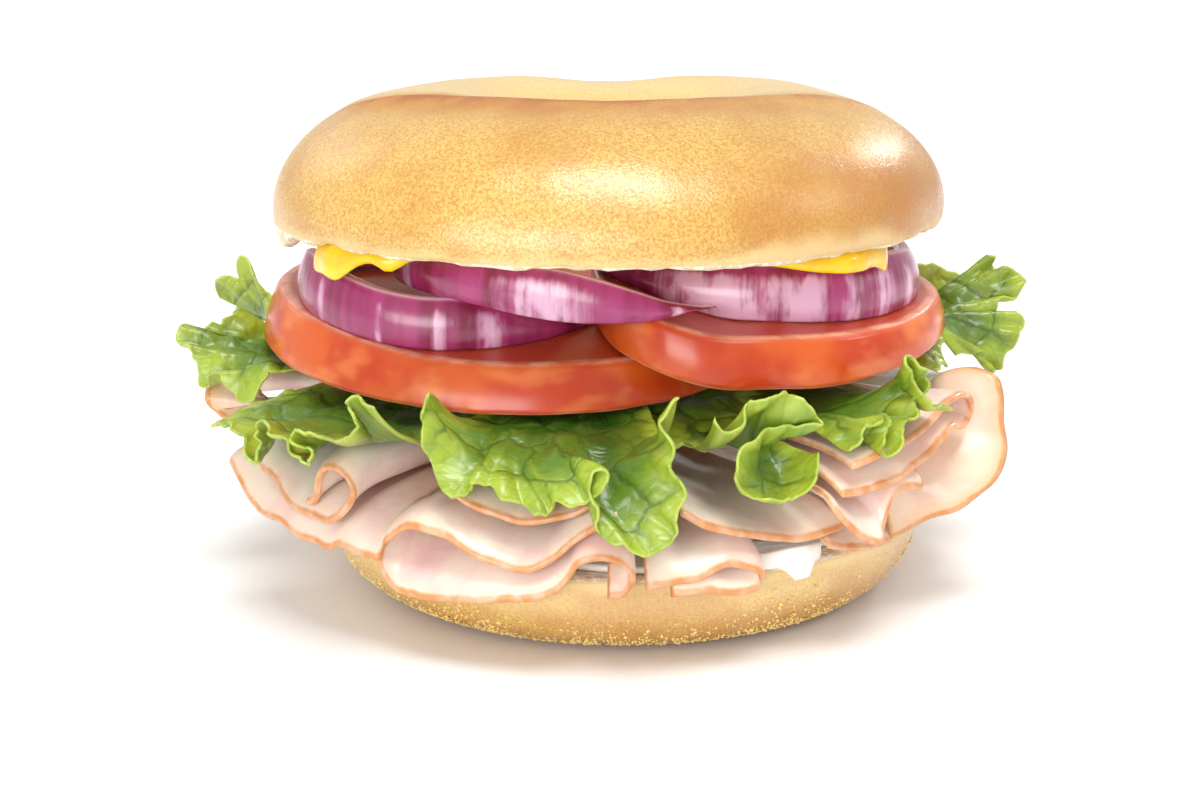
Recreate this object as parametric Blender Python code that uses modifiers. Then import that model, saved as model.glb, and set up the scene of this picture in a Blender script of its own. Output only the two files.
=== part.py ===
"""A ham sandwich in a plain bagel, piled up with salad.

Built from the bottom up: bagel heel, mayonnaise, folded ham slices, leaf lettuce, two tomato
slices, red onion rings, mustard and the bagel's crown. Sizes are in millimetres here and are
turned into metres when a mesh is made. +Z is up, and the sandwich's front is its -Y side.
An azimuth is in degrees round the bagel's axis: 0 at the front and growing towards +X.
"""

import math
from collections import namedtuple

import bmesh
import bpy
import numpy as np

MM = 0.001

# Bagel
CROWN_RADIUS = 53.5
HOLE_RADIUS = 13.0
CROWN_CUT_HEIGHT = 59.65
CROWN_WIDEST_HEIGHT = 61.5
CROWN_TOP_HEIGHT = 79.7
CROWN_CREST_RADIUS = 26.5
CROWN_BACK_DIP = 1.7
HEEL_RADIUS = 49.3
HEEL_FLAT_RADIUS = 35.5
HEEL_HEIGHT = 14.1
HEEL_CENTRE = (2.46, -3.03)
BAGEL_STEPS = 32

# Spreads
SPREAD_GAP = 0.3
MAYO_THICK = 0.9
MAYO_RADIUS = 46.0
MUSTARD_THICK = 1.1
MUSTARD_RADIUS = 45.0
SPREAD_STEPS = 48

# Tomato slices. Both lie on one slope that is lower at the front and flattens behind.
SLOPE = 0.12
SLOPE_BEND = 6.0
TOMATO_BASE_HEIGHT = 40.9
TOMATO_LEFT_CENTRE = (-9.3, 0.5)
TOMATO_LEFT_RADIUS = 44.5
TOMATO_LEFT_THICK = 6.6
TOMATO_RIGHT_CENTRE = (15.0, -7.0)
TOMATO_RIGHT_RADIUS = 39.0
TOMATO_RIGHT_LEFT_REACH = 18.0
TOMATO_RIGHT_THICK = 7.2
TOMATO_RIGHT_BACK_THICK = 5.5
TOMATO_GAP = 0.7
TOMATO_STEPS = 32

# Red onion rings, each cut open: centre, radius, and the azimuths round its own centre
# between which the ring runs
ONION_WALL = 2.4
ONION_STEP_DEG = 12
ONION_LEFT = ((-24.0, -8.8), 26.0, -178, 53)
ONION_LEFT_TOP = 51.6
ONION_MIDDLE = ((2.0, -9.5), 33.0, -118, 28)
ONION_MIDDLE_BASE = 51.2
ONION_MIDDLE_TOP = 57.7
ONION_RIGHT = ((23.0, -9.0), 27.0, -75, 110)
ONION_RIGHT_TOP = 57.0

# Thin food
HAM_THICK = 1.2
HAM_ROWS = 4
LEAF_THICK = 0.6
LEAF_ROWS = 4
LEAF_LEVEL_GAP = 1.35
FAN_ROWS = 3
FAN_ROOT_SPAN = 12.0

# A thin slice or leaf is described by its rim, as seen from outside the sandwich: where the
# rim starts (azimuth, height), which way it heads there (0 to the right, 90 up), and its arcs
# as (length in mm, turn in degrees) on a cylinder of radius rim. From the rim it runs inwards
# to inner_radius, where its folds are squashed together round inner_height. For a leaf,
# inner_height counts down from the tomato in steps, and what doubles back at the rim unfolds.
# Where a lobe lies in front of another, the rim comes outward by so many mm from start to end.
SHEET_SIZES = "name start height heading arcs rim inner_height squash inner_radius outward"
Sheet = namedtuple("Sheet", SHEET_SIZES, defaults=[0])

HAM_SLICES = [
    Sheet("ham_front_fold", 1.55, 24.9, -160,
          [(10, 28), (10.5, -66), (7.7, -11), (13.5, 83), (9.6, 129), (22, 7), (5.7, 54), (9.1, -109),
           (7.2, -150)], 57.5, 21.0, 0.62, 32),
    Sheet("ham_front_top", -24.5, 26.4, -25, [(7.3, 8), (10, 37), (6, 6)], 56.0, 28.4, 0.3, 18),
    Sheet("ham_front_loop", 5.0, 14.1, 2, [(10.4, 16), (6.5, -42), (4.3, -137), (4.6, -36), (8.3, 23)],
          56.5, 19.0, 0.75, 36),
    Sheet("ham_right_low", 9.9, 24.7, -27, [(9.7, 9), (8.2, 12), (10.3, 22)], 57.0, 24.2, 0.3, 18),
    Sheet("ham_right_base", 33, 17.4, -20, [(4.7, 12), (9.3, 12)], 58.0, 20.0, 0.3, 18),
    Sheet("ham_right_tongue", 31.3, 24.5, -46, [(6.9, 4), (5, 38), (1.4, 102), (11.7, -127), (2.4, 150)],
          61.0, 26.0, 0.4, 44),
    Sheet("ham_right_fold", 33.8, 30.4, 3, [(19.6, 16), (14.8, -35), (6.9, -179), (14.8, 38), (20, -30)],
          61.5, 32.4, 0.6, 38),
    Sheet("ham_left_inner", -90.0, 20.5, 10, [(7, -20), (7, 20), (5, -10)], 51.0, 21.5, 0.3, 20),
    Sheet("ham_left_outer", -65.4, 24.5, -40, [(6.4, 2), (4.6, 29), (13.8, -6), (3, 30)],
          63.0, 19.8, 0.3, 18),
    Sheet("ham_left_roll", -67.5, 25.5, -6,
          [(6.6, -4), (7.3, -14), (11.7, 26), (8.3, 63), (4.9, 97), (8.5, 112), (4.2, -120)],
          61.0, 28.0, 0.7, 34),
]

LEAVES = [
    Sheet("leaf_middle", -26.5, 41.3, -113,
          [(15.4, 78), (4.9, 138), (0.4, -121), (12.3, -5), (0.6, 148), (2.4, -132), (8.8, 67), (2.8, 180),
           (17.9, 138), (2.4, 54), (14.4, 46), (7.2, -84)], 60.0, 0, 0.04, 20, 5),
    Sheet("leaf_left_low", -29, 41.4, 169,
          [(3.9, -11), (4.3, 200), (3.3, -133), (9.5, -73), (2.9, 60), (4.5, 151), (4.3, -225), (10.3, 44),
           (6.9, 154), (2.1, -173), (8.6, -21), (1.3, 49), (11, 7)], 66.8, 2, 0.04, 20),
    Sheet("leaf_front_right", 14.0, 39.9, -104,
          [(6.3, 179), (9.8, -106), (6.1, -13), (1.9, -150), (6.4, 17), (9.7, 80), (2.8, 62), (4, 11),
           (9, 75), (4.3, 60)], 59.5, 2, 0.04, 20),
    Sheet("leaf_inner", 15.0, 34.2, 4, [(6, -6), (6.5, 12)], 46.0, 1, 0.04, 24),
    Sheet("leaf_right", 33.5, 33.3, 41,
          [(6.7, -8), (5.6, -211), (2.1, 95), (4.3, 143), (9, -2), (2.1, 60), (5.5, 35), (1.4, 130),
           (11.7, 66), (2.5, -13)], 63.5, 1, 0.04, 20, 4),
    Sheet("leaf_right_side", 69.0, 37.0, 30, [(6, -60), (6, 70), (6, -50)], 55.0, 1, 0.04, 24),
]

# Food that sticks out sideways, described by its outline in an upright plane whose depth y goes
# from one value to another along the rim: (reach from the axis, height) on the left (side -1)
# or right (side 1), in arcs as above. It passes under its neighbours at (pivot_reach,
# pivot_height) and ends at root_reach. Its rim ripples by sway.
Fan = namedtuple("Fan", "name side reach height heading arcs depths pivot_reach pivot_height root_reach sway")

SIDE_LEAVES = [
    Fan("leaf_left_back", -1, 56.0, 44.6, 50,
        [(8.8, 4), (0.4, -124), (3.9, -19), (0.8, 113), (3.4, -60), (4.6, -143), (4.5, 138), (0.7, -144),
         (4.6, -22)],
        (2, 12), 55.6, 38.0, 42.0, 0.3),
    Fan("leaf_left_top", -1, 57.7, 41.0, 33,
        [(6.8, -63), (2, 142), (0.9, -236), (3.6, 180), (4.5, -133), (0.9, -95), (7.9, 90), (3.6, -207),
         (4.6, 175), (6.8, -74)],
        (1, -19), 53.8, 37.2, 40.0, 0.6),
    Fan("leaf_right_back", 1, 51.4, 48.2, 24,
        [(9.1, -77), (3.2, 120), (4, -1), (2.4, -187), (2.3, 157), (8.7, -220), (6.6, 153), (1, 118),
         (6.5, -223), (6.6, 35), (2.5, -141), (7.9, 84)],
        (12, 0), 52.6, 41.4, 40.0, 0.4),
]
SIDE_HAM = [
    Fan("ham_left_tip", -1, 58.5, 35.0, 5, [(5, -20), (4, -70), (4, -60), (4, -40), (3, 0)],
        (-8, -12), 56.0, 29.5, 44.0, 0.6),
    Fan("ham_right_outer", 1, 53.6, 35.8, 26,
        [(8.2, -44), (0.8, -81), (5.3, 24), (18.3, -99), (6, 18), (5, -16)],
        (-14, -34), 41.0, 26.4, 38.0, 0.4),
]


def clear_scene():
    for thing in list(bpy.data.objects):
        bpy.data.objects.remove(thing)


def make_collection(name):
    group = bpy.data.collections.new(name)
    bpy.context.scene.collection.children.link(group)
    return group


def make_material(name, colour, roughness):
    """A Principled surface with the food's colour."""
    material = bpy.data.materials.new(name)
    material.use_nodes = True
    shader = material.node_tree.nodes["Principled BSDF"]
    shader.inputs["Base Color"].default_value = (*colour, 1.0)
    shader.inputs["Roughness"].default_value = roughness
    shader.inputs["Metallic"].default_value = 0.0
    return material


def finish(name, mesh, material, group):
    """A named object for one piece of food."""
    thing = bpy.data.objects.new(name, mesh)
    mesh.materials.clear()
    mesh.materials.append(material)
    group.objects.link(thing)
    return thing


def turned(profile, steps, degrees=360):
    """A profile of (radius, height) in mm, turned round Z by a Screw modifier.

    A profile that doesn't start on the axis is a closed loop. Less than a full turn starts at
    the azimuth 0 and its ends are filled.
    """
    mesh = bpy.data.meshes.new("profile")
    count = len(profile)
    edges = [(k, k + 1) for k in range(count - 1)]
    if profile[0][0] > 0:
        edges.append((count - 1, 0))
    mesh.from_pydata([(0, -r * MM, z * MM) for r, z in profile], edges, [])
    thing = bpy.data.objects.new("profile", mesh)
    bpy.context.scene.collection.objects.link(thing)
    screw = thing.modifiers.new("turn", "SCREW")
    screw.steps = steps
    screw.render_steps = steps
    screw.angle = math.radians(degrees)
    screw.use_merge_vertices = True
    screw.merge_threshold = 0.00002
    return solid_of(thing)


def solid_of(thing):
    """The evaluated mesh of a helper object, closed and with its faces turned outwards."""
    bpy.context.view_layer.update()
    evaluated = thing.evaluated_get(bpy.context.evaluated_depsgraph_get())
    mesh = bpy.data.meshes.new_from_object(evaluated)
    work = bmesh.new()
    work.from_mesh(mesh)
    bmesh.ops.remove_doubles(work, verts=work.verts, dist=0.00002)
    bmesh.ops.holes_fill(work, edges=work.edges, sides=0)
    bmesh.ops.recalc_face_normals(work, faces=work.faces)
    work.to_mesh(mesh)
    work.free()
    bpy.data.objects.remove(thing)
    return mesh


def reshape(mesh, rule):
    """Moves all points of a mesh by rule(x, y, z), which works in mm on whole arrays."""
    flat = np.empty(len(mesh.vertices) * 3, np.float32)
    mesh.vertices.foreach_get("co", flat)
    x, y, z = (flat.reshape(-1, 3).astype(float) / MM).T
    moved = np.stack(rule(x, y, z), axis=1) * MM
    mesh.vertices.foreach_set("co", moved.astype(np.float32).ravel())
    mesh.update()
    return mesh


def triangulated(mesh):
    work = bmesh.new()
    work.from_mesh(mesh)
    bmesh.ops.triangulate(work, faces=work.faces, quad_method="BEAUTY")
    work.to_mesh(mesh)
    work.free()
    return mesh


def arc(centre, size, first, last, count):
    """Points of an elliptic arc in the (radius, height) plane, angles in degrees."""
    angles = np.radians(np.linspace(first, last, count))
    return [(centre[0] + size[0] * math.cos(t), centre[1] + size[1] * math.sin(t)) for t in angles]


def smooth(value):
    """0 below 0, 1 above 1 and an easy S between."""
    value = np.clip(value, 0, 1)
    return value * value * (3 - 2 * value)


def bump(azimuth, centre, width):
    """1 at an azimuth and fading to 0 beyond its width, both in degrees."""
    away = (azimuth - centre + 180) % 360 - 180
    return np.exp(-((away / width) ** 2))


def azimuth_of(x, y):
    return np.degrees(np.arctan2(x, -y))


def crown_profile():
    """The crown: a flat cut, a rounded outer side, a crest and a funnel into the hole."""
    crest = CROWN_TOP_HEIGHT
    outer = CROWN_RADIUS - CROWN_CREST_RADIUS
    inner = CROWN_CREST_RADIUS - HOLE_RADIUS
    points = [(HOLE_RADIUS + 1.2, CROWN_CUT_HEIGHT), (CROWN_RADIUS - 0.9, CROWN_CUT_HEIGHT)]
    points += arc((CROWN_CREST_RADIUS, CROWN_WIDEST_HEIGHT), (outer, crest - CROWN_WIDEST_HEIGHT), 0, 90, 9)
    points += arc((CROWN_CREST_RADIUS, crest - inner), (inner, inner), 106, 180, 5)
    return points


def crown_rule(x, y, z):
    """Slightly uneven, with a low place at the back of the crest."""
    azimuth = azimuth_of(x, y)
    above = np.clip((z - CROWN_CUT_HEIGHT) / (CROWN_TOP_HEIGHT - CROWN_CUT_HEIGHT), 0, 1)
    dip = CROWN_BACK_DIP * bump(azimuth, 180, 20)
    spread = 1 + 0.006 * np.cos(np.radians(2 * azimuth + 20))
    return x * spread, y * spread, z - dip * above**2


def heel_profile():
    """The heel: a flat cut on top, a rounded outer side and a flat to rest on."""
    side = HEEL_RADIUS - HEEL_FLAT_RADIUS
    points = [(HOLE_RADIUS + 3.0, 0), (HEEL_FLAT_RADIUS, 0)]
    points += arc((HEEL_FLAT_RADIUS, HEEL_HEIGHT - 1), (side, HEEL_HEIGHT - 1), -68, 0, 6)
    points += [(HEEL_RADIUS - 0.9, HEEL_HEIGHT), (HOLE_RADIUS, HEEL_HEIGHT), (HOLE_RADIUS, 4.0)]
    return points


def heel_rule(x, y, z):
    return x + HEEL_CENTRE[0], y + HEEL_CENTRE[1], z


def mayonnaise_profile():
    low = HEEL_HEIGHT + SPREAD_GAP
    high = low + MAYO_THICK
    inner = HOLE_RADIUS + 3
    return [(inner, low), (MAYO_RADIUS - 5, low), (MAYO_RADIUS, low), (MAYO_RADIUS + 0.4, low + 0.1),
            (MAYO_RADIUS + 1, (low + high) / 2), (MAYO_RADIUS, high), (MAYO_RADIUS - 5, high), (inner, high)]


def mayonnaise_rule(x, y, z):
    """A thin ring that wells up at the front right and hangs over the heel's edge there."""
    azimuth = azimuth_of(x, y)
    radius = np.hypot(x, y)
    edge = np.clip((radius - MAYO_RADIUS + 5.5) / 5, 0, 1)
    well = bump(azimuth, 31, 8) * edge
    rise = np.clip((z - HEEL_HEIGHT - SPREAD_GAP) / MAYO_THICK, 0, 1)
    ragged = 0.7 * np.sin(np.radians(azimuth) * 7 + 0.5) * edge * (1 - well)
    out = radius + ragged + well * 6
    hang = 2.6 * np.clip((out - HEEL_RADIUS - 2.7) / 0.3, 0, 1) * (1 - rise)
    x = x * out / radius + HEEL_CENTRE[0]
    y = y * out / radius + HEEL_CENTRE[1]
    return x, y, z + well * 2.3 * rise - hang


def mustard_profile():
    high = CROWN_CUT_HEIGHT - SPREAD_GAP
    low = high - MUSTARD_THICK
    inner = HOLE_RADIUS + 3
    middle = (low + high) / 2
    return [(inner, low), (MUSTARD_RADIUS - 3, low), (MUSTARD_RADIUS, low), (MUSTARD_RADIUS + 0.9, low),
            (MUSTARD_RADIUS + 1.6, middle), (MUSTARD_RADIUS + 0.8, high), (inner, high)]


def mustard_rule(x, y, z):
    """A thin ring that shows and drips at the front left and along the right."""
    azimuth = azimuth_of(x, y)
    radius = np.hypot(x, y)
    edge = np.clip(radius - MUSTARD_RADIUS + 1.5, 0, 1)
    out = 5.5 * (bump(azimuth, -47, 13) + bump(azimuth, 45, 16))
    drip = 2.6 * bump(azimuth, -47, 5) + 1.2 * bump(azimuth, -37.5, 2.6)
    drip = drip + 1.0 * bump(azimuth, 38, 9) + 2.6 * bump(azimuth, 51, 5)
    hanging = np.clip((radius - MUSTARD_RADIUS) / 0.8, 0, 1)
    hanging = hanging * np.clip((CROWN_CUT_HEIGHT - SPREAD_GAP - z) / MUSTARD_THICK, 0, 1)
    grow = (radius + out * edge + 0.4 * drip * hanging) / radius
    return x * grow, y * grow, z - drip * hanging


def slope_rise(y):
    """How much higher than level the food lies at y: the slope, easing to nothing behind."""
    return -SLOPE * SLOPE_BEND * np.log1p(np.exp(-(y + 5) / SLOPE_BEND))


def slice_profile(radius, thick, lean, low_rings, high_rings):
    """A round slice: its side leans in towards the top, with both edges slightly eased."""
    ease = 0.5
    low = [(radius * k / low_rings, 0) for k in range(low_rings)]
    high = [(radius * k / high_rings, thick) for k in range(high_rings)]
    side = [(radius - ease, 0), (radius, ease), (radius - lean, thick - ease), (radius - lean - ease, thick)]
    return low + side + high[::-1]


def right_slice_raise(x):
    """How far the right slice's underside is above the slope: it rides over the left slice."""
    return TOMATO_LEFT_THICK + TOMATO_GAP - 2.95 * smooth(x / 20) - 0.9 * smooth((x - 20) / 16)


def tomato_left_rule(x, y, z):
    """The wide lower slice. It is narrower and thinner where the right slice presses on it."""
    uneven = 1 - 0.15 * bump(azimuth_of(x, y), 75, 45)
    x = x * uneven + TOMATO_LEFT_CENTRE[0]
    y = y * uneven + TOMATO_LEFT_CENTRE[1]
    thin = (right_slice_raise(x) - TOMATO_GAP) / TOMATO_LEFT_THICK
    return x, y, z * thin + TOMATO_BASE_HEIGHT + slope_rise(y)


def tomato_right_rule(x, y, z):
    """The upper slice: its left end is nearly straight and its right end sags."""
    around = np.arctan2(-y, x)
    boxy = 8
    left = (np.abs(np.cos(around)) / TOMATO_RIGHT_LEFT_REACH) ** boxy
    left = (left + (np.abs(np.sin(around)) / TOMATO_RIGHT_RADIUS) ** boxy) ** (-1 / boxy)
    shrink = np.where(x < 0, left / TOMATO_RIGHT_RADIUS, 1)
    x = x * shrink + TOMATO_RIGHT_CENTRE[0]
    y = y * shrink + TOMATO_RIGHT_CENTRE[1]
    thin = 1 - (1 - TOMATO_RIGHT_BACK_THICK / TOMATO_RIGHT_THICK) * smooth((y + 38) / 45)
    return x, y, z * thin + TOMATO_BASE_HEIGHT + slope_rise(y) + right_slice_raise(x)


def onion_left_heights(x, y, azimuth):
    """It lies on the left slice and gets lower where the middle ring lies on it."""
    low = TOMATO_BASE_HEIGHT + slope_rise(y) + TOMATO_LEFT_THICK + SPREAD_GAP
    return low, ONION_LEFT_TOP - 2.0 * smooth((azimuth + 25) / 30)


def onion_middle_heights(x, y, azimuth):
    """It bridges the other two and falls to the right until it tucks in behind."""
    return ONION_MIDDLE_BASE, ONION_MIDDLE_TOP - 6.0 * smooth((azimuth + 15) / 43)


def onion_right_heights(x, y, azimuth):
    """It lies on the right slice."""
    low = TOMATO_BASE_HEIGHT + slope_rise(y) + right_slice_raise(x) + TOMATO_RIGHT_THICK + SPREAD_GAP
    return low, ONION_RIGHT_TOP


def onion_arc(ring, heights):
    """Part of an onion ring. heights(x, y, azimuth) gives its underside and its upper edge."""
    centre, radius, first, last = ring
    profile = [(radius - ONION_WALL, 0), (radius - 0.6, 0), (radius, 0.3), (radius - 0.2, 0.66),
               (radius - 1.0, 1), (radius - ONION_WALL + 0.2, 1), (radius - ONION_WALL - 0.2, 0.5)]
    span = last - first
    mesh = turned(profile, round(span / ONION_STEP_DEG), span)

    def rule(x, y, z):
        azimuth = (azimuth_of(x, y) + 1) % 360 - 1 + first
        out = np.hypot(x, y) * (1 + 0.02 * np.cos(np.radians(2 * azimuth + 40)))
        x = centre[0] + out * np.sin(np.radians(azimuth))
        y = centre[1] - out * np.cos(np.radians(azimuth))
        low, high = heights(x, y, azimuth)
        return x, y, low + z * (high - low)

    return reshape(mesh, rule)


def rim_path(start, height, heading, arcs, step_deg, step_mm):
    """(mm along, height) down a rim of arcs, each with its length in mm and turn in degrees."""
    along, up, direction = start, height, math.radians(heading)
    path = [(along, up)]
    for length, turn in arcs:
        steps = max(1, math.ceil(abs(turn) / step_deg), math.ceil(length / step_mm))
        for _ in range(steps):
            direction += math.radians(turn) / steps / 2
            along += length / steps * math.cos(direction)
            up += length / steps * math.sin(direction)
            direction += math.radians(turn) / steps / 2
            path.append((along, up))
    return np.array(path)


def along_path(path, share):
    """Both coordinates of a path at a share of its points, 0 to 1."""
    at = share * (len(path) - 1)
    count = np.arange(len(path))
    return np.interp(at, count, path[:, 0]), np.interp(at, count, path[:, 1])


def sheet_surface(piece, path, share, inward, settle, is_leaf):
    """A thin food's middle surface. share is the place along its rim, inward is 0 at the rim."""
    along, height = along_path(path, share)
    if is_leaf:
        even = path[0, 0] + (path[-1, 0] - path[0, 0]) * share
        along = along + (even - along) * smooth(inward / 0.35)
    azimuth = np.radians(piece.start + np.degrees(along / piece.rim))
    middle = path[:, 1].mean()
    radius = piece.rim - (piece.rim - piece.inner_radius) * inward**1.5
    radius = radius + piece.outward * (share - 0.5) * (1 - inward)
    x = radius * np.sin(azimuth)
    y = -radius * np.cos(azimuth)
    inner = piece.inner_height
    if is_leaf:
        below = 1.3 + LEAF_LEVEL_GAP * piece.inner_height
        inner = TOMATO_BASE_HEIGHT - below + slope_rise(y) + 2.4 * smooth((x - 24) / 10)
    squash = 1 + (piece.squash - 1) * np.clip(inward * settle, 0, 1)
    z = middle + (height - middle) * squash + (inner - middle) * (1 - (1 - inward) ** 3.5)
    return x, y, z


def fan_surface(piece, path, share, inward):
    """A side piece: from its outline to a pivot line below the tomato, then level inwards."""
    reach, height = along_path(path, share)
    bend = 2 / FAN_ROWS
    to_pivot = np.clip(inward / bend, 0, 1)
    past = np.clip((inward - bend) / (1 - bend), 0, 1)
    ease = to_pivot**0.8
    out = reach + (piece.pivot_reach - reach) * ease + (piece.root_reach - piece.pivot_reach) * past
    z = height + (piece.pivot_height - height) * ease
    ripple = piece.sway * np.sin(share * math.tau * 3.5) * (1 - to_pivot)
    first, last = piece.depths
    span = (last - first) * (1 - past) + math.copysign(FAN_ROOT_SPAN, last - first) * past
    y = (first + last) / 2 + span * (share - 0.5) + ripple
    return piece.side * out, y, z


def sheet(name, columns, rows, surface, thick, material, group):
    """A thin sheet: a grid laid out by surface(u, v), split into triangles, then Solidify."""
    work = bmesh.new()
    bmesh.ops.create_grid(work, x_segments=columns, y_segments=rows, size=0.5)
    spots = np.array([v.co[:2] for v in work.verts]) + 0.5
    x, y, z = surface(spots[:, 0], spots[:, 1])
    for vertex, place in zip(work.verts, np.stack([x, y, z], axis=1) * MM):
        vertex.co = place
    bmesh.ops.triangulate(work, faces=work.faces, quad_method="FIXED")
    mesh = bpy.data.meshes.new(name)
    work.to_mesh(mesh)
    work.free()
    thing = finish(name, mesh, material, group)
    solid = thing.modifiers.new("thickness", "SOLIDIFY")
    solid.thickness = thick * MM
    solid.offset = 0
    return thing


def build_ham(piece, rows, material, group):
    path = rim_path(0, piece.height, piece.heading, piece.arcs, step_deg=34, step_mm=9)
    return sheet(
        piece.name, len(path) - 1, rows,
        lambda u, v: sheet_surface(piece, path, u, v, 1.6, False), HAM_THICK, material, group,
    )


def build_leaf(piece, material, group):
    path = rim_path(0, piece.height, piece.heading, piece.arcs, step_deg=70, step_mm=6)
    return sheet(
        piece.name, len(path) - 1, LEAF_ROWS,
        lambda u, v: sheet_surface(piece, path, u, v, 2.2, True), LEAF_THICK, material, group,
    )


def build_fan(piece, thick, material, group):
    path = rim_path(piece.reach, piece.height, piece.heading, piece.arcs, step_deg=70, step_mm=4)
    return sheet(
        piece.name, len(path) - 1, FAN_ROWS,
        lambda u, v: fan_surface(piece, path, u, v), thick, material, group,
    )


def wavy(rng, count, length, turn):
    """Arcs that bend by turns one way and the other, uneven in length."""
    return [(length * rng.uniform(0.85, 1.15), turn * (-1) ** k) for k in range(count)]


def back_ham():
    """Two rows of loosely folded slices round the back, from the right side to the left."""
    slices = []
    for row, (rim, height, inner) in enumerate([(60.0, 18.8, 20.2), (61.5, 28.4, 29.6)]):
        for k in range(3):
            arcs = wavy(np.random.default_rng(12 + k), 5, 12.5, 50) + [(5.2, 150), (9, -5)]
            start = 77 + 64 * k + 2 * row
            name = f"ham_back_{3 * row + k + 1}"
            slices.append(Sheet(name, start, height, -25, arcs, rim, inner, 0.45, 34))
    return slices


def back_leaves():
    """Ruffled leaves round the back, by turns one step and two steps below the tomato."""
    leaves = []
    for k in range(4):
        arcs = wavy(np.random.default_rng(30 + k), 5, 9, -100)
        level = 1 - k % 2
        name = f"leaf_back_{k + 1}"
        leaves.append(Sheet(name, 109 + 37 * k, 37.5 - level, 50, arcs, 65.0, level, 0.04, 24))
    return leaves


def rest_at_origin(group):
    """Parents all food to an empty that puts the sandwich's box on the origin."""
    origin = bpy.data.objects.new("sandwich_origin", None)
    things = list(group.objects)
    group.objects.link(origin)
    for thing in things:
        thing.parent = origin
    bpy.context.view_layer.update()
    depsgraph = bpy.context.evaluated_depsgraph_get()
    corners = np.array([c for thing in things for c in thing.evaluated_get(depsgraph).bound_box])
    low, high = corners.min(axis=0), corners.max(axis=0)
    origin.location = (-(low[0] + high[0]) / 2, -(low[1] + high[1]) / 2, -low[2])


def main():
    clear_scene()
    group = make_collection("ham_sandwich")
    crust = make_material("crust", (0.80, 0.52, 0.22), 0.45)
    mayo = make_material("mayonnaise", (0.93, 0.90, 0.82), 0.3)
    mustard = make_material("mustard", (0.93, 0.68, 0.05), 0.3)
    tomato = make_material("tomato", (0.75, 0.13, 0.05), 0.25)
    onion = make_material("red_onion", (0.48, 0.10, 0.30), 0.25)
    ham = make_material("ham", (0.87, 0.62, 0.55), 0.4)
    lettuce = make_material("lettuce", (0.30, 0.55, 0.08), 0.4)

    def add_round(name, profile, steps, rule, material):
        """A turned piece, reshaped by its rule."""
        finish(name, triangulated(reshape(turned(profile, steps), rule)), material, group)

    add_round("bagel_heel", heel_profile(), BAGEL_STEPS, heel_rule, crust)
    add_round("mayonnaise", mayonnaise_profile(), SPREAD_STEPS, mayonnaise_rule, mayo)
    for piece in HAM_SLICES:
        build_ham(piece, HAM_ROWS, ham, group)
    for piece in back_ham():
        build_ham(piece, HAM_ROWS - 1, ham, group)
    for piece in SIDE_HAM:
        build_fan(piece, HAM_THICK, ham, group)
    for piece in LEAVES + back_leaves():
        build_leaf(piece, lettuce, group)
    for piece in SIDE_LEAVES:
        build_fan(piece, LEAF_THICK, lettuce, group)
    left = slice_profile(TOMATO_LEFT_RADIUS, TOMATO_LEFT_THICK, 2.6, 2, 5)
    add_round("tomato_left", left, TOMATO_STEPS, tomato_left_rule, tomato)
    right = slice_profile(TOMATO_RIGHT_RADIUS, TOMATO_RIGHT_THICK, 1.4, 5, 2)
    add_round("tomato_right", right, TOMATO_STEPS, tomato_right_rule, tomato)
    for name, ring, heights in [("onion_left", ONION_LEFT, onion_left_heights),
                                ("onion_middle", ONION_MIDDLE, onion_middle_heights),
                                ("onion_right", ONION_RIGHT, onion_right_heights)]:
        finish(name, triangulated(onion_arc(ring, heights)), onion, group)
    add_round("mustard", mustard_profile(), SPREAD_STEPS, mustard_rule, mustard)
    add_round("bagel_crown", crown_profile(), BAGEL_STEPS, crown_rule, crust)
    rest_at_origin(group)


if __name__ == "__main__":
    main()
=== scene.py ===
"""Ham sandwich in a plain bagel, dressed with fine surfaces, materials, light and a camera.

Shapes are worked out in millimetres in the sandwich's own place, where Z runs up through the
bagel's hole and the front is -Y, and are shifted onto the frame when a mesh is made. An azimuth
is in degrees round Z: 0 at the front and growing towards +X.
"""

import math
from collections import namedtuple

import bmesh
import bpy
import numpy as np
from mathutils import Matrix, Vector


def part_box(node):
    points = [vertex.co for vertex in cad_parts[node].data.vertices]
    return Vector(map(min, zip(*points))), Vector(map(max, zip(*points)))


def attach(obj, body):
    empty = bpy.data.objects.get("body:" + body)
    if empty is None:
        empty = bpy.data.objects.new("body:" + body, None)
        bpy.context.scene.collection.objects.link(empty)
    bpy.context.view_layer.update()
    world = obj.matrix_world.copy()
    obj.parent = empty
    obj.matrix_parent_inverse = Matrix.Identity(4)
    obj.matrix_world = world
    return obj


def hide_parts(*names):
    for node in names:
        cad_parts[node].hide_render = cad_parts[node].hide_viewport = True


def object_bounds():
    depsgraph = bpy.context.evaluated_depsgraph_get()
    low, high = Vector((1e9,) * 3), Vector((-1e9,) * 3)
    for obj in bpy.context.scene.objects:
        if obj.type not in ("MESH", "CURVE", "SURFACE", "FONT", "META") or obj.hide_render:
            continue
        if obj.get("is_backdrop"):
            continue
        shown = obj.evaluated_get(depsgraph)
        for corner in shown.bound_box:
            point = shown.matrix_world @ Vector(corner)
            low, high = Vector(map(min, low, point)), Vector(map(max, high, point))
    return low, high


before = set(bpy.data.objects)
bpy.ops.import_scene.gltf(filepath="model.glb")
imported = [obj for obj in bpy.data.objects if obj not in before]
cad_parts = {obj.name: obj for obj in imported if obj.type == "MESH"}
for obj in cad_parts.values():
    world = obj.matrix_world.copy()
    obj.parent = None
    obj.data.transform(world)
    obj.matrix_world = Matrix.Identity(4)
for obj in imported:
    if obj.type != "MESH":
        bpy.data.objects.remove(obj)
CAD_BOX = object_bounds()

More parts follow.
